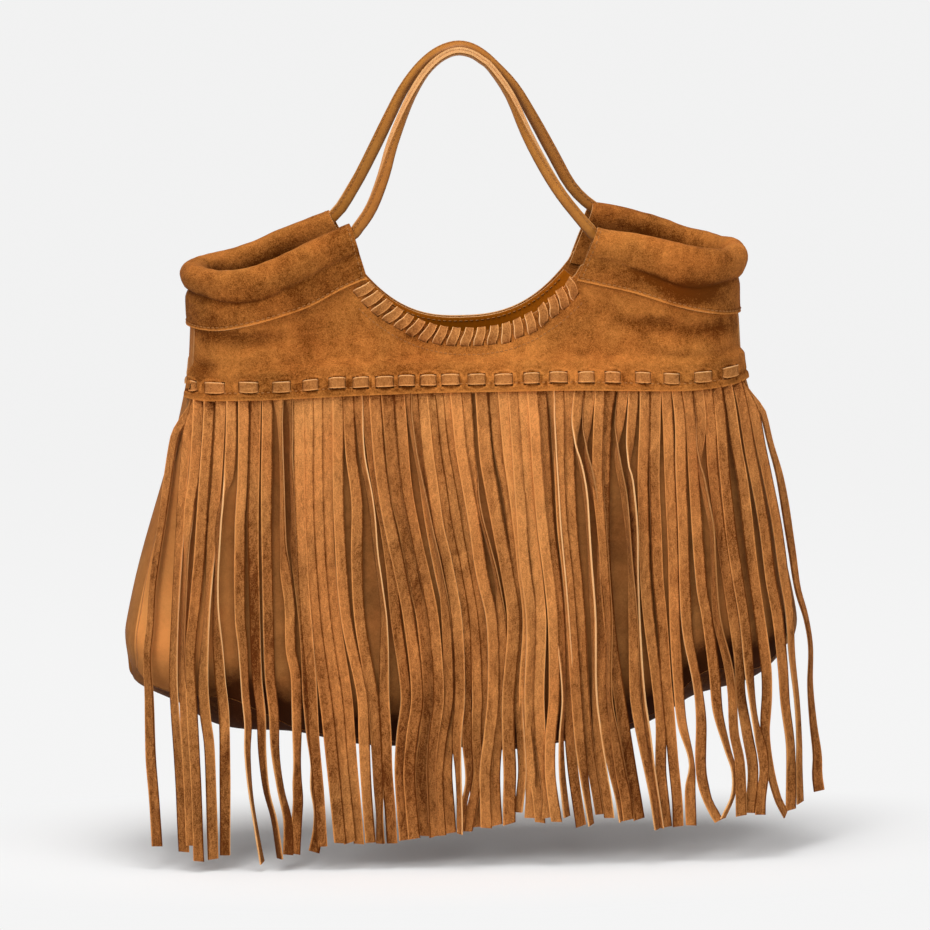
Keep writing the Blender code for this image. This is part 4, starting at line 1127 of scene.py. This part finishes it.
# Strap: the places in the photograph that its front and its back handle pass
FRONT_ARCH = [
    (349.5, 236.5), (358.5, 227.5), (372, 207), (383.7, 176.3), (393, 143.3), (407.3, 105.5), (421.5, 78.5),
    (434, 63.5), (447, 54.5), (459, 51.5), (471.5, 54.2), (481, 60), (491, 68.5), (509.7, 96), (526.2, 133.8),
    (545, 169.2), (561.6, 195.2), (580.5, 218.8), (590, 229.5), (598, 236.5),
]
BACK_ARCH = [
    (333, 216.4), (353, 188), (372, 152.7), (388.4, 119.7), (402.6, 91.4), (416.7, 71), (431, 57), (445, 49),
    (459, 46), (472, 48.5), (484, 55.5), (496, 66.5), (514.4, 87), (531, 115), (552, 152.7), (571, 185.7),
    (593.4, 207),
]


def arch(places, face):
    """A handle's middle line from the places that it passes in the photograph."""
    line = []
    for px, py in places:
        depth = face * 20.0
        for _ in range(3):
            across, drop = placed(px, py, depth)
            depth = face * mix(4.6, 26, smooth(drop / 105))
        line.append((across, depth, drop))
    return np.array(line)


# (wide, thick), from the sewn edge on. The first four faces are the cut edge.
STRAP_SECTION = [
    (3.6, 1.75), (3.65, 0.45), (3.15, 0), (3.65, -0.45), (3.6, -1.75), (3.2, -2.0), (2.2, -1.85), (1.5, -2.05),
    (0, -2.1), (-1.8, -2.05), (-2.9, -1.6), (-3.5, -0.8), (-3.65, 0), (-3.5, 0.8), (-2.9, 1.6), (-1.8, 2.05),
    (0, 2.1), (1.5, 2.05), (2.2, 1.85), (3.2, 2.0),
]


def arch_wide(line, face):
    """Which way the strap's sewn edge points along a handle."""
    ahead = unit(np.gradient(line, axis=0))
    outward = unit(np.stack((ahead[:, 2], 0 * ahead[:, 0], -ahead[:, 0]), -1))
    tip = unit(np.array([0, face * 0.9, -0.42]))
    twist = (math.pi / 2 * (1 - smooth(line[:, 2] / 100)))[:, None]
    return unit(outward * np.cos(twist) + tip * np.sin(twist))


def make_strap(centres):
    """centres: for each cuff, the middle line of its casing and the way up there."""
    front, back = arch(FRONT_ARCH, FRONT), arch(BACK_ARCH, BACK)
    left, right = ([line[11:-8:4] for line in centres[hand]] for hand in (LEFT, RIGHT))
    parts = (
        left, (back, arch_wide(back, BACK)), [line[::-1] for line in right],
        (front[::-1], arch_wide(front, FRONT)[::-1]),
    )
    path, wide = (np.vstack(part) for part in zip(*parts))
    path, wide = (along(np.vstack((line[-2:], line, line[:3])))[6:-9] for line in (path, wide))
    ahead = unit(np.roll(path, -1, 0) - np.roll(path, 1, 0))
    wide = unit(wide - ahead * (wide * ahead).sum(-1, keepdims=True))
    points, faces = bar(path, wide, STRAP_SECTION, closed=True)
    which = [int(k % len(STRAP_SECTION) < 4) for k in range(len(faces))]
    reach = np.array(STRAP_SECTION)[:, 0]
    tone = 0.10 * bell(reach, 0.5, 1.2) - 0.35 * bell(reach, -3.5, 0.7) - 0.15 * bell(reach, 2.2, 0.4)
    pile = Pile()
    pile.add(points, faces, which, np.tile(tone, len(path)))
    pile.make("handle_strap", [strap_leather, suede_edge], angle=50)
    thick = np.cross(ahead, wide)
    shown = path[:, 2] < 118
    ends = np.flatnonzero(np.diff(np.concatenate(([0], shown.astype(int), [0]))))
    rows = []
    for side in (-1, 1):
        line = path + wide * 2.2 + thick * side * 1.9
        for first, last in zip(ends[::2], ends[1::2]):
            if last - first > 6:
                rows.append((line[first:last], thick[first:last] * side))
    stitches("strap_stitching", rows, 3.0, 2.1, 0.3)


def row_on(spot, across, offset):
    """A row of places on the skin and the way out there, from spot(across, offset)."""
    line, above = (np.array([spot(a, offset + lift) for a in across]) for lift in (0, 1))
    return line, above - line


# Build
front_body, back_body = make_body_panel("front_body_panel", FRONT), make_body_panel("back_body_panel", BACK)
gusset = make_gusset()
front_yoke = make_yoke("front_yoke", FRONT, UNDER_FRONT)
back_yoke = make_yoke("back_yoke", BACK, UNDER_BACK)
neck_blocks, seam_blocks = make_neckline_lace(), make_seam_lace()
cut(front_yoke, neck_blocks + seam_blocks)
centres, cuffs = {}, []
for hand, name in ((LEFT, "left_cuff"), (RIGHT, "right_cuff")):
    cuff, centre, up = make_cuff(name, hand)
    cuffs.append(cuff)
    centres[hand] = (centre, up)
facing = make_facing()
fringe = make_fringe()
make_strap(centres)
seam_row = row_on(lambda a, off: seam_spot(a, 4.5, off), np.linspace(-162, 162, 260), UNDER_FRONT + SUEDE - 0.35)
stitches("seam_stitching", [seam_row])
neck_row = row_on(lambda a, off: neck_at(a, 14.2, 0, off), np.linspace(-60, 60, 160), SUEDE + 0.05)
stitches("neckline_stitching", [neck_row], 2.9, 2.0, 0.26)


# Studio, in metres: how high the floor lies, and the middle of the bag that the lamps point at
FLOOR, MIDDLE = -0.5055, -0.26


def paint_white(made, shader, node, calc):
    """Shows the floor as plain white from afar, with a soft shadow under the bag."""
    seen = node("LightPath").outputs
    shown = calc("MAXIMUM", seen["Is Camera Ray"], seen["Is Glossy Ray"])
    shown = calc("MAXIMUM", shown, seen["Is Transmission Ray"])
    spot = node("TexCoord").outputs["Object"]
    flat = node("VectorMath", {0: spot, 1: (3.4, 8.5, 0)}, operation="MULTIPLY").outputs["Vector"]
    away = node("VectorMath", {0: flat}, operation="LENGTH").outputs["Value"]
    share, level = (
        node("MapRange", {"Value": away, "From Min": near, "From Max": far, "To Min": low, "To Max": high},
             interpolation_type="SMOOTHSTEP").outputs["Result"]
        for near, far, low, high in ((0.6, 1.5, 0.04, 1.0), (3, 12, 0.91, 0.885))
    )
    plain = node("Emission", {"Color": (1, 1, 1, 1), "Strength": level}).outputs["Emission"]
    both = node("MixShader", {0: calc("MULTIPLY", share, shown), 1: shader.outputs["BSDF"], 2: plain})
    tree = made.node_tree
    tree.links.new(both.outputs["Shader"], tree.nodes["Material Output"].inputs["Surface"])


def make_stage():
    mesh = bpy.data.meshes.new("floor")
    corners = ((-30, -30), (30, -30), (30, 30), (-30, 30))
    mesh.from_pydata([(x, y, FLOOR) for x, y in corners], [], [(0, 1, 2, 3)])
    made, shader, node, calc = graph("floor")
    for key, value in {"Base Color": (0.83, 0.83, 0.83, 1), "Roughness": 1, "Specular IOR Level": 0}.items():
        shader.inputs[key].default_value = value
    paint_white(made, shader, node, calc)
    mesh.materials.append(made)
    put("floor", mesh)


def lamp(name, place, size, power):
    light = bpy.data.lights.new(name, "AREA")
    light.shape, light.size, light.energy = "DISK", size, power
    holder = put(name, light)
    holder.location = place
    holder.rotation_euler = (Vector((0, 0, MIDDLE)) - Vector(place)).to_track_quat("-Z", "Y").to_euler()


make_stage()
lamp("key", (-1.1, -1.9, 1.3), 1.3, 26)
lamp("fill", (1.8, -1.8, 0.5), 1.6, 9)
lamp("top", (-0.1, -0.5, 1.9), 1.5, 40)

# The sky is dimmer as a light than as the background
sky = bpy.data.worlds.new("sky")
sky.use_nodes = True
bpy.context.scene.world = sky
tree = sky.node_tree
plain = tree.nodes["Background"]
plain.inputs["Color"].default_value = (1, 1, 1, 1)
seen, level = tree.nodes.new("ShaderNodeLightPath"), tree.nodes.new("ShaderNodeMath")
level.operation = "MULTIPLY_ADD"
level.inputs[1].default_value, level.inputs[2].default_value = 0.585, 0.3
tree.links.new(seen.outputs["Is Camera Ray"], level.inputs[0])
tree.links.new(level.outputs[0], plain.inputs["Strength"])

camera = bpy.data.cameras.new("camera")
camera.lens, camera.sensor_width = LENS, SENSOR
camera.clip_end = 100
holder = put("camera", camera)
turned = Matrix((to_right, upward, toward)).transposed()
holder.matrix_world = Matrix.Translation(Vector(eye * MM)) @ turned.to_4x4()
bpy.context.scene.camera = holder
bpy.context.scene.view_settings.view_transform = "Standard"
